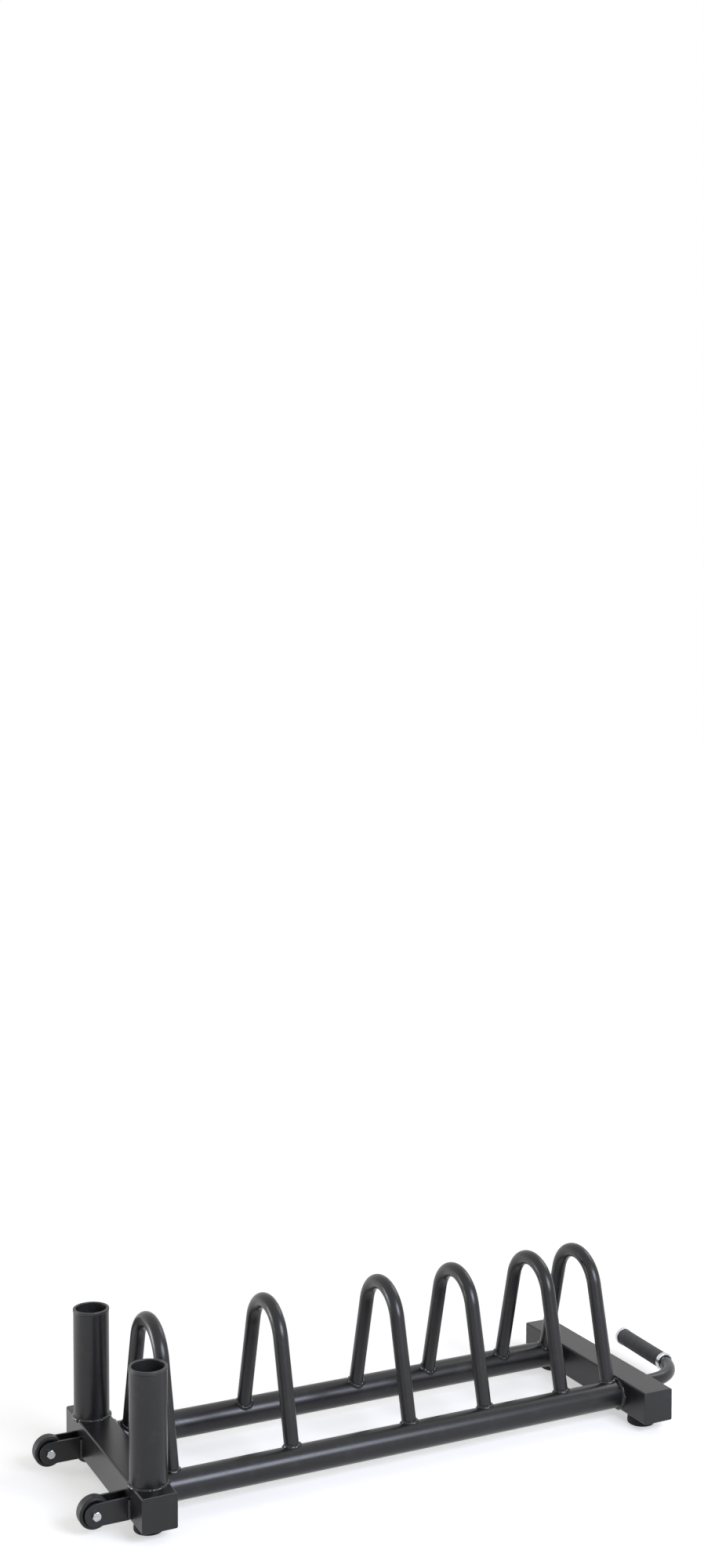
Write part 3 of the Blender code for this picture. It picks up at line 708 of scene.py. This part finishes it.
weld("hoop_welds", [saddle(x, sign) for x in hoop_x for sign in (-1, 1)], HOOP_BEAD, seed=3)
rail_seams = []
for side, middle in rail_middle.items():
    for x in (middle.x - rail_half - SEAM_IN, middle.x + rail_half + SEAM_IN):
        rail_seams.append(circle((x, middle.y, middle.z), rail_radius - SEAM_IN, X_AXIS))
weld("rail_welds", rail_seams, RAIL_BEAD, seed=5)

# %% [markdown]
# ## Upright holders
# Two upright tubes are open at the top and have a black plastic liner in the mouth, with a
# thin flange over the rim, so that steel doesn't scrape on steel. Tube and liner are turned
# shapes with a real wall. The liner is a cup, so that what stands in it has a flat bottom.

# %% Holder tubes
HOLDER_WALL = 2 * MM
HOLDER_RIM_ROUND = 0.4 * MM
HOLDER_FOOT_ROUND = 0.2 * MM
HOLDER_BEAD = 4.6 * MM
beam_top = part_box("beam_wheel_end")[1].z
holder_seams = []
for side in ("near", "far"):
    node = "holder_tube_" + side
    middle, size = middle_and_size(node)
    holder_radius = size.x / 2
    inner = holder_radius - HOLDER_WALL
    profile = rounded([(holder_radius, size.z, HOLDER_RIM_ROUND), (holder_radius, 0.0, HOLDER_FOOT_ROUND),
                       (inner, 0.0, 0.0), (inner, size.z, HOLDER_RIM_ROUND)], steps=4)
    form = placed(turned(profile, ROUND_SIDES), (middle.x, middle.y, middle.z - size.z / 2))
    finish_form(node, "_tube", form, coat)
    holder_seams.append(circle((middle.x, middle.y, beam_top - SEAM_IN),
                               holder_radius - SEAM_IN, Z_AXIS))
weld("holder_welds", holder_seams, HOLDER_BEAD, seed=7)
print("holder in mm:", in_mm(size))

# %% Liners
LINER_BORE = 51.5 * MM
LINER_FLANGE = 5 * MM
LINER_BASE = 3 * MM
LINER_LIP_ROUND = 1.6 * MM
LINER_EDGE_ROUND = 0.5 * MM
LINER_CORNER_ROUND = 0.6 * MM
stem = inner - SEAT_GAP
for side in ("near", "far"):
    node = "holder_liner_" + side
    middle, size = middle_and_size(node)
    flange = size.x / 2
    step_z = size.z - LINER_FLANGE
    profile = rounded([
        (0.0, LINER_BASE, 0.0), (LINER_BORE / 2, LINER_BASE, LINER_CORNER_ROUND),
        (LINER_BORE / 2, size.z, LINER_LIP_ROUND), (flange, size.z, LINER_LIP_ROUND),
        (flange, step_z, LINER_EDGE_ROUND), (stem, step_z, 0.0),
        (stem, 0.0, LINER_EDGE_ROUND), (0.0, 0.0, 0.0)], steps=6, closed=False)
    form = turned(profile, ROUND_SIDES, closed=False)
    form = placed(form, (middle.x, middle.y, middle.z - size.z / 2))
    finish_form(node, "_cup", form, polyethylene)
print("liner in mm:", in_mm(size))

# %% [markdown]
# ## Rubber feet
# Each foot is a moulded rubber disc, wider below than above, held by a screw in a recess
# underneath. The profile goes round the outside and back up through the recess and the
# screw's hole, so that the foot is right from below as well.

# %% Feet
FOOT_TOP = 22.5 * MM
FOOT_RIM = 6 * MM
FOOT_RECESS = 8 * MM
FOOT_RECESS_DEPTH = 9 * MM
FOOT_ROUND = 3.0 * MM
FOOT_EDGE_ROUND = 1.0 * MM
FOOT_SIDES = 72
SCREW_HOLE = 3.3 * MM
for end in ("wheel_end", "handle_end"):
    for side in ("near", "far"):
        node = "foot_%s_%s" % (end, side)
        middle, size = middle_and_size(node)
        radius = size.x / 2
        profile = rounded([
            (FOOT_TOP, size.z, FOOT_EDGE_ROUND), (radius, FOOT_RIM, FOOT_ROUND),
            (radius, 0.0, FOOT_ROUND), (FOOT_RECESS, 0.0, FOOT_EDGE_ROUND),
            (FOOT_RECESS, FOOT_RECESS_DEPTH, 0.0),
            (SCREW_HOLE, FOOT_RECESS_DEPTH, 0.0), (SCREW_HOLE, size.z, 0.0)])
        form = placed(turned(profile, FOOT_SIDES), (middle.x, middle.y, 0.0))
        finish_form(node, "_rubber", form, foot_rubber)
print("foot in mm:", in_mm(size))

# %% [markdown]
# ## Wheels
# Each wheel is one nylon moulding with a rounded tread, a raised lip at each side and a
# dished web, between two ears cut from plate. The wheels turn, so they ride on bodies of
# their own.

# %% Wheels
TREAD_HALF = 10 * MM
TREAD_ROUND = 3.2 * MM
WHEEL_RIM_DEPTH = 6 * MM
WHEEL_WEB = 5 * MM
WHEEL_HUB = 11 * MM
WHEEL_BORE = 6.3 * MM
WHEEL_DISH = 1.5 * MM
LIP_ROUND = 1.6 * MM
WEB_ROUND = 0.8 * MM
HUB_ROUND = 0.5 * MM
BORE_ROUND = 0.3 * MM
wheel_middle = {}
for side in ("near", "far"):
    node = "wheel_" + side
    middle, size = middle_and_size(node)
    wheel_middle[side] = middle
    radius = size.z / 2
    hub_half = size.y / 2
    rim = radius - WHEEL_RIM_DEPTH
    half_profile = [
        (radius, -TREAD_HALF, TREAD_ROUND), (rim, -TREAD_HALF, LIP_ROUND),
        (rim - WHEEL_DISH, -WHEEL_WEB, WEB_ROUND), (WHEEL_HUB + WHEEL_DISH, -WHEEL_WEB, WEB_ROUND),
        (WHEEL_HUB, -hub_half, HUB_ROUND), (WHEEL_BORE, -hub_half, BORE_ROUND)]
    other_half = [(across, -up, corner) for across, up, corner in reversed(half_profile)]
    form = placed(turned(rounded(half_profile + other_half), ROUND_SIDES), middle, Y_AXIS)
    finish_form(node, "_moulding", form, nylon, side + "_wheel")
print("wheel in mm:", in_mm(size))

# %% [markdown]
# ## Ears
# The ears are plates with one round end about the axle. Each is drawn as an outline of a
# half circle and two corners, pulled to its thickness, and bevelled except where it meets
# the beam. A short straight bead runs up the face that looks away from the wheel.

# %% Ears and their welds
EAR_CORNER = 0.6 * MM
EAR_STEPS = 40
EAR_BEAD = 4.2 * MM
BEAD_INSET = 3 * MM
EAR_SEAM_IN = 0.5 * MM
ear_seams = []
for side, side_sign in (("near", -1), ("far", 1)):
    for place, out in (("outer", side_sign), ("inner", -side_sign)):
        node = "wheel_ear_%s_%s" % (side, place)
        low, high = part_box(node)
        axle = wheel_middle[side]
        radius = (high.z - low.z) / 2
        form = bmesh.new()
        outline = [form.verts.new((high.x, low.y, high.z))]
        for step in range(EAR_STEPS + 1):
            angle = math.pi / 2 + math.pi * step / EAR_STEPS
            outline.append(form.verts.new((axle.x + radius * math.cos(angle), low.y,
                                           axle.z + radius * math.sin(angle))))
        outline.append(form.verts.new((high.x, low.y, low.z)))
        plate = form.faces.new(outline)
        raised = bmesh.ops.extrude_face_region(form, geom=[plate])["geom"]
        moved = [item for item in raised if isinstance(item, bmesh.types.BMVert)]
        bmesh.ops.translate(form, vec=(0.0, high.y - low.y, 0.0), verts=moved)
        bmesh.ops.recalc_face_normals(form, faces=form.faces)
        rims = [edge for edge in form.edges if abs(edge.verts[0].co.y - edge.verts[1].co.y) < TINY
                and min(edge.verts[0].co.x, edge.verts[1].co.x) < high.x - TINY]
        bmesh.ops.bevel(form, geom=rims, offset=EAR_CORNER, segments=3, profile=0.5, affect="EDGES")
        finish_form(node, "_plate", form, coat)
        seam_y = (high.y if out > 0 else low.y) - out * EAR_SEAM_IN
        ear_seams.append([(high.x + EAR_SEAM_IN, seam_y, low.z + BEAD_INSET),
                          (high.x + EAR_SEAM_IN, seam_y, high.z - BEAD_INSET)])
weld("ear_welds", ear_seams, EAR_BEAD, seed=11, cyclic=False)

# %% [markdown]
# ## Axle bolts and nuts
# A bolt head is a hexagon whose corners are turned off by a cone on its outer face. So it
# is a hexagonal prism cut by a turned shape with a Boolean. The nut is a hexagon with a
# round locking collar. The bolt's thread is a true helix: Geometry Nodes draw a spiral of
# the real 1.25 mm pitch and sweep a small diamond along it.

# %% Hexagons and threads
HEX_WIDTH = 13 * MM
HEX_FLAT_RADIUS = 6.1 * MM
CHAMFER_SLOPE = math.radians(30)
CONE_MARGIN = 1 * MM
CONE_SIDES = 64
STEEL_SHARP_DEG = 20.0
THREAD_PITCH = 1.25 * MM
THREAD_DEPTH = 0.6 * MM
THREAD_SIDES = 4


def hexagon(height, chamfer_both):
    """A hexagonal prism along Z from 0 up, with its corners turned off by a cone."""
    corner = HEX_WIDTH / 2 / math.cos(math.pi / 6)
    wide = corner + CONE_MARGIN
    drop = (wide - HEX_FLAT_RADIUS) * math.tan(CHAMFER_SLOPE)
    prism = turned([(0.0, height), (corner, height), (corner, 0.0), (0.0, 0.0)], 6, closed=False)
    below = [(wide, drop), (HEX_FLAT_RADIUS, 0.0)] if chamfer_both else [(wide, 0.0)]
    cone = turned([(0.0, height), (HEX_FLAT_RADIUS, height), (wide, height - drop)]
                  + below + [(0.0, 0.0)], CONE_SIDES, closed=False)
    blank, tool = [in_scene(name, draft_mesh(name, form))
                   for name, form in (("prism_draft", prism), ("cone_draft", cone))]
    mesh = cut_with(blank, tool, "INTERSECT")
    bpy.data.objects.remove(tool)
    form = bmesh.new()
    form.from_mesh(mesh)
    return form


bolt_thread, given = new_tree("bolt_thread", {
    "Root radius": 3.4 * MM, "Depth": THREAD_DEPTH, "Pitch": THREAD_PITCH,
    "Length": 8 * MM, "Steps a turn": 32})
turns = add(bolt_thread, "ShaderNodeMath", {0: given["Length"], 1: given["Pitch"]}, operation="DIVIDE")
helix = add(bolt_thread, "GeometryNodeCurveSpiral",
            {"Resolution": given["Steps a turn"], "Rotations": turns.outputs[0],
             "Start Radius": given["Root radius"], "End Radius": given["Root radius"],
             "Height": given["Length"]})
upright = add(bolt_thread, "GeometryNodeSetCurveNormal", {"Curve": helix.outputs[0]}, mode="Z_UP")
sweep_tree(bolt_thread, given, upright.outputs[0], THREAD_SIDES, given["Depth"])
print("thread tree:", len(bolt_thread.nodes), "nodes")

# %% Bolts
def finish_steel(node, forms, spin):
    """Lays steel that was built along Z along the axle, and finishes it."""
    middle, size = middle_and_size(node)
    form = placed(joined(forms), (middle.x, middle.y - size.y / 2, middle.z), Y_AXIS, spin)
    finish_form(node, "_steel", form, zinc, sharp_deg=STEEL_SHARP_DEG)
    print(node, "in mm:", in_mm(size))


AXLE_RADIUS = 4 * MM
HEAD_HEIGHT = 5.3 * MM
THREAD_LENGTH = 10 * MM
HEAD_SPIN = 0.3  # in radians, wherever tightening left it
TIP_ROUND = 0.5 * MM
SHANK_SIDES = 32
root = AXLE_RADIUS - THREAD_DEPTH
for side in ("near", "far"):
    node = "axle_bolt_" + side
    length = middle_and_size(node)[1].y
    thread_start = length - THREAD_LENGTH - THREAD_DEPTH
    shank = turned(rounded([
        (0.0, length, 0.0), (root, length, TIP_ROUND), (root, thread_start, 0.0),
        (AXLE_RADIUS, thread_start - THREAD_DEPTH, 0.0), (AXLE_RADIUS, HEAD_HEIGHT / 2, 0.0),
        (0.0, HEAD_HEIGHT / 2, 0.0)], steps=3, closed=False), SHANK_SIDES, closed=False)
    thread = bmesh.new()
    thread.from_mesh(grown("thread_draft", [], bolt_thread,
                           {"Root radius": root, "Length": THREAD_LENGTH}))
    bmesh.ops.translate(thread, vec=(0.0, 0.0, thread_start), verts=thread.verts)
    head = placed(hexagon(HEAD_HEIGHT, chamfer_both=False), (0, 0, HEAD_HEIGHT), (0, 0, -1))
    finish_steel(node, [head, shank, thread], HEAD_SPIN)

# %% Nuts
COLLAR_RADIUS = 5.9 * MM
COLLAR_BORE = 4.2 * MM
COLLAR_HEIGHT = 2.2 * MM
COLLAR_ROUND = 1.3 * MM
COLLAR_BORE_ROUND = 0.3 * MM
COLLAR_SIDES = 48
NUT_SPIN = 0.8  # in radians
for side in ("near", "far"):
    node = "axle_nut_" + side
    length = middle_and_size(node)[1].y
    hex_top = length - COLLAR_HEIGHT
    collar = turned(rounded([
        (COLLAR_BORE, length, COLLAR_BORE_ROUND), (COLLAR_RADIUS, length, COLLAR_ROUND),
        (COLLAR_RADIUS, hex_top / 2, 0.0), (COLLAR_BORE, hex_top / 2, 0.0)]), COLLAR_SIDES)
    finish_steel(node, [hexagon(hex_top, chamfer_both=True), collar], NUT_SPIN)

# %% [markdown]
# ## Handle
# One tube leaves the beam, bends through nearly a right angle and carries the grip, which
# opens away from the beam by three degrees. The bent tube tree makes it from two straight
# runs. It fills the ends of what it sweeps, where the beam and the plug hide them.

# %% The handle's tube
LEG_LENGTH = 29.8 * MM
HANDLE_BEND = 77 * MM
SPLAY = math.radians(3.0)
LEG_Y = -92.4 * MM
HANDLE_RADIUS = 12 * MM
HANDLE_SIDES = 64
HANDLE_BEAD = 5.0 * MM
RING_LAP = 12.5 * MM
RING_LENGTH = 8 * MM
GRIP_LENGTH = 134 * MM
face_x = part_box("beam_handle_end")[1].x
handle_z = middle_and_size("handle_tube")[0].z
along = Vector((math.sin(SPLAY), math.cos(SPLAY), 0.0))
bend_end = Vector((face_x + LEG_LENGTH + HANDLE_BEND * math.cos(SPLAY),
                   LEG_Y + HANDLE_BEND * (1 - math.sin(SPLAY)), handle_z))
grip_start = bend_end - along * RING_LAP
tube_end = grip_start + along * (2 * RING_LENGTH + GRIP_LENGTH + 2 * SEAT_GAP)
corner = bend_end - along * ((bend_end.y - LEG_Y) / along.y)
line = [(face_x + SEAT_GAP, LEG_Y, handle_z), corner, tube_end]
mesh = grown("handle_tube_bent", [line], bent_tube,
             {"Tube radius": HANDLE_RADIUS, "Bend radius": HANDLE_BEND, "Sides": HANDLE_SIDES,
              "Material": coat})
mesh.set_sharp_from_angle(angle=math.radians(SHARP_DEG))
finish_piece(mesh, coat, ["handle_tube"])
seam = circle((face_x - SEAM_IN, LEG_Y, handle_z), HANDLE_RADIUS - SEAM_IN, X_AXIS)
weld("handle_weld", [seam], HANDLE_BEAD, seed=13)

# %% [markdown]
# ## Grip, rings and plug
# The grip is a rubber sleeve between two turned aluminium rings. The ring by the bend has a
# wider bore than the tube and reaches back over the end of the bend, so a dark crescent
# shows inside it. All of them are turned shapes laid along the grip's axis.

# %% Grip and rings
GRIP_RADIUS = 15 * MM
GRIP_BORE = 12.7 * MM
GRIP_ROUND = 1.2 * MM
GRIP_SIDES = 72
RING_RADIUS = 16.5 * MM
RING_BORE = 13.5 * MM
RING_CHAMFER = 1.5 * MM
RING_FACE_ROUND = 0.3 * MM
RING_ROUND = 0.4 * MM
RING_BORE_ROUND = 0.2 * MM
# Turned and left bare: nearly white, with a bright band that the fine rings soften.
aluminium = bare_metal("turned_aluminium", "dcdddd", "c4c6c8", 0.24, 6 * MM, 0.8 * MM, along)
profile = rounded([(GRIP_RADIUS, GRIP_LENGTH, GRIP_ROUND), (GRIP_RADIUS, 0.0, GRIP_ROUND),
                   (GRIP_BORE, 0.0, 0.0), (GRIP_BORE, GRIP_LENGTH, 0.0)])
form = placed(turned(profile, GRIP_SIDES), grip_start + along * (RING_LENGTH + SEAT_GAP), along)
finish_form("handle_grip", "_sleeve", form, grip_rubber)
ring_profile = rounded([(RING_RADIUS - RING_CHAMFER, RING_LENGTH, RING_FACE_ROUND),
                        (RING_RADIUS, RING_LENGTH - RING_CHAMFER, RING_ROUND),
                        (RING_RADIUS, 0.0, RING_ROUND), (RING_BORE, 0.0, RING_BORE_ROUND),
                        (RING_BORE, RING_LENGTH, RING_BORE_ROUND)], steps=4)
for node, place, way in (("grip_ring_near", grip_start + along * RING_LENGTH, -along),
                         ("grip_ring_far", tube_end - along * RING_LENGTH, along)):
    form = placed(turned(ring_profile, GRIP_SIDES), place, way)
    finish_form(node, "_turned", form, aluminium, sharp_deg=STEEL_SHARP_DEG)
print("ring and grip in mm across:", in_mm((2 * RING_RADIUS, 2 * GRIP_RADIUS)))

# %% Plug
PLUG_STEM = 9.7 * MM
PLUG_DEPTH = 14 * MM
PLUG_CROWN = 4 * MM
PLUG_SHOULDER = (8.6 * MM, 3.2 * MM, 6 * MM)  # across, up and rounding, as in rounded()
PLUG_RIM = (HANDLE_RADIUS, 1.2 * MM, 1 * MM)
PLUG_TIP_ROUND = 0.5 * MM
plug_profile = rounded([(0.0, PLUG_CROWN, 0.0), PLUG_SHOULDER, PLUG_RIM, (HANDLE_RADIUS, SEAT_GAP, 0.0),
                        (PLUG_STEM, SEAT_GAP, 0.0), (PLUG_STEM, -PLUG_DEPTH, PLUG_TIP_ROUND),
                        (0.0, -PLUG_DEPTH, 0.0)], closed=False)
form = placed(turned(plug_profile, HANDLE_SIDES, closed=False), tube_end, along)
finish_form("handle_plug", "_cap", form, polyethylene)
print("grip axis at the plug in mm:", in_mm(tube_end))

# %% [markdown]
# ## Small CAD parts that stay
# The axle sleeves and the foot screws are plain turned steel and hardly show. They keep
# their CAD shapes and get the zinc finish.

# %% Finish for what stays
for name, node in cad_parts.items():
    if not node.hide_render:
        node.data.materials.clear()
        node.data.materials.append(zinc)
        print("keeps its CAD shape:", name)

# %% [markdown]
# ## Floor
# The floor is white paper. It takes the soft shadows, and to the camera and to anything
# glossy it also glows a little, more with distance, so that it runs white into the
# surround. The light that it throws on the rack is only what it really reflects.

# %% Floor
FLOOR_HALF = 40.0
NEAR_GLOW = 0.50
FAR_GLOW = 0.86
GLOW_FROM = 0.6
GLOW_TO = 2.2


def shown(tree):
    """Gives 1 for what the camera sees, directly, in gloss or through glass, and 0 for the rest."""
    ray = add(tree, "ShaderNodeLightPath")
    seen = add(tree, "ShaderNodeMath",
               {0: ray.outputs["Is Camera Ray"], 1: ray.outputs["Is Glossy Ray"]}, operation="MAXIMUM")
    return add(tree, "ShaderNodeMath",
               {0: seen.outputs[0], 1: ray.outputs["Is Transmission Ray"]}, operation="MAXIMUM").outputs[0]


floor_mesh = bpy.data.meshes.new("floor")
floor_mesh.from_pydata([(-FLOOR_HALF, -FLOOR_HALF, 0), (FLOOR_HALF, -FLOOR_HALF, 0),
                        (FLOOR_HALF, FLOOR_HALF, 0), (-FLOOR_HALF, FLOOR_HALF, 0)], [], [(0, 1, 2, 3)])
floor = in_scene("floor", floor_mesh)
paper, tree, where = new_surface("white_paper_floor")
away = add(tree, "ShaderNodeVectorMath", {0: where}, operation="LENGTH")
strength = add(tree, "ShaderNodeMapRange",
               {"Value": away.outputs["Value"], "From Min": GLOW_FROM, "From Max": GLOW_TO,
                "To Min": NEAR_GLOW, "To Max": FAR_GLOW}, interpolation_type="SMOOTHSTEP")
matt = add(tree, "ShaderNodeBsdfDiffuse", {"Color": linear("dfdedb")})
glow = add(tree, "ShaderNodeEmission",
           {"Color": linear("ffffff"), "Strength": strength.outputs["Result"]})
lit = add(tree, "ShaderNodeAddShader", {0: matt.outputs[0], 1: glow.outputs[0]})
sheet = add(tree, "ShaderNodeMixShader", {0: shown(tree), 1: matt.outputs[0], 2: lit.outputs[0]})
add(tree, "ShaderNodeOutputMaterial", {"Surface": sheet.outputs[0]})
floor_mesh.materials.append(paper)
floor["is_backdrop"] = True
print("floor:", 2 * FLOOR_HALF, "m square")

# %% [markdown]
# ## Surround
# The studio is white all round. The camera, and whatever reflects, sees plain white. Soft
# light from all sides fills the shadows a little less from above than from the sides, as
# white walls under a dim ceiling do.

# %% Surround
SIDE_LIGHT, TOP_LIGHT = 0.36, 0.32
WALL_RISE, CEILING_RISE = 0.2, 0.9  # how steeply a direction rises: 0 is level, 1 upright
world = bpy.data.worlds.new("studio")
bpy.context.scene.world = world
world.use_nodes = True
tree = world.node_tree
tree.nodes.clear()
direction = add(tree, "ShaderNodeTexCoord").outputs["Generated"]
height = add(tree, "ShaderNodeSeparateXYZ", {0: direction}).outputs["Z"]
level = add(tree, "ShaderNodeMapRange",
            {"Value": height, "From Min": WALL_RISE, "From Max": CEILING_RISE,
             "To Min": SIDE_LIGHT, "To Max": TOP_LIGHT}, interpolation_type="SMOOTHSTEP")
soft = add(tree, "ShaderNodeBackground", {"Color": linear("ffffff"), "Strength": level.outputs[0]})
white = add(tree, "ShaderNodeBackground", {"Color": linear("ffffff"), "Strength": 1.0})
studio = add(tree, "ShaderNodeMixShader", {0: shown(tree), 1: soft.outputs[0], 2: white.outputs[0]})
add(tree, "ShaderNodeOutputWorld", {"Surface": studio.outputs[0]})
print("surround:", world.name)

# %% [markdown]
# ## Lamps
# One soft lamp in front, on the right and above, draws the cool highlight that runs along
# each rail and fades to the right. One that stands low on the left, a little behind the
# rack, helps the light edge down the upright tubes. A third, high on the right, throws the
# faint shadows to the left. All are large, so no shadow has a hard edge, and the camera
# itself sees none of them.

# %% Lamps
AIM = Vector((0.0, 0.0, 0.1))


def lamp(name, place, size, power, colour):
    """A large soft lamp that points at the rack."""
    data = bpy.data.lights.new(name, "AREA")
    data.shape = "RECTANGLE"
    data.size, data.size_y = size
    data.energy = power
    data.color = linear(colour)[:3]
    item = in_scene(name, data)
    item.location = place
    item.rotation_euler = (AIM - Vector(place)).to_track_quat("-Z", "Y").to_euler()
    item.visible_camera = False
    print(name, "power in watts:", power)


lamp("front_softbox", (0.50, -2.45, 1.80), (1.5, 1.2), 78.0, "e4e9ff")
lamp("left_softbox", (-2.75, 1.35, 0.50), (0.9, 1.0), 40.0, "ffffff")
lamp("side_softbox", (2.6, 0.6, 2.6), (1.4, 1.4), 20.0, "ffffff")

# %% [markdown]
# ## Camera
# The camera stands where the photograph's stood. Its place, heading and focal length were
# worked out from edges of the rack, and the lens follows from the focal length in pixels
# and the height of the frame.

# %% Camera
FRAME_PIXELS = 2000
FOCAL_PIXELS = 2224.27
YAW = math.radians(26.063)
PITCH = math.radians(2.606)
CAMERA_PLACE = (-1.3660, -2.6568, 1.2750)
SENSOR_MM = 36.0
NEAREST, FARTHEST = 0.1, 200.0
camera_data = bpy.data.cameras.new("camera")
camera_data.sensor_width = SENSOR_MM
camera_data.lens = FOCAL_PIXELS * SENSOR_MM / FRAME_PIXELS
camera_data.clip_start = NEAREST
camera_data.clip_end = FARTHEST
camera = in_scene("camera", camera_data)
camera.location = CAMERA_PLACE
camera.rotation_euler = (math.pi / 2 - PITCH, 0.0, -YAW)
bpy.context.scene.camera = camera
bpy.context.scene.view_settings.view_transform = "Standard"
print("lens in mm:", round(camera_data.lens, 2))

# %% [markdown]
# ## Last step
# The finished model is meant to fill the same box as the CAD model. Its box is measured, and the finished
# pieces and their faces are counted.

# %% Measure the box and count the faces
low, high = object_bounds()
faces = sum(len(piece.data.polygons) for piece in finished)
print("finished pieces:", len(finished), "faces:", faces)
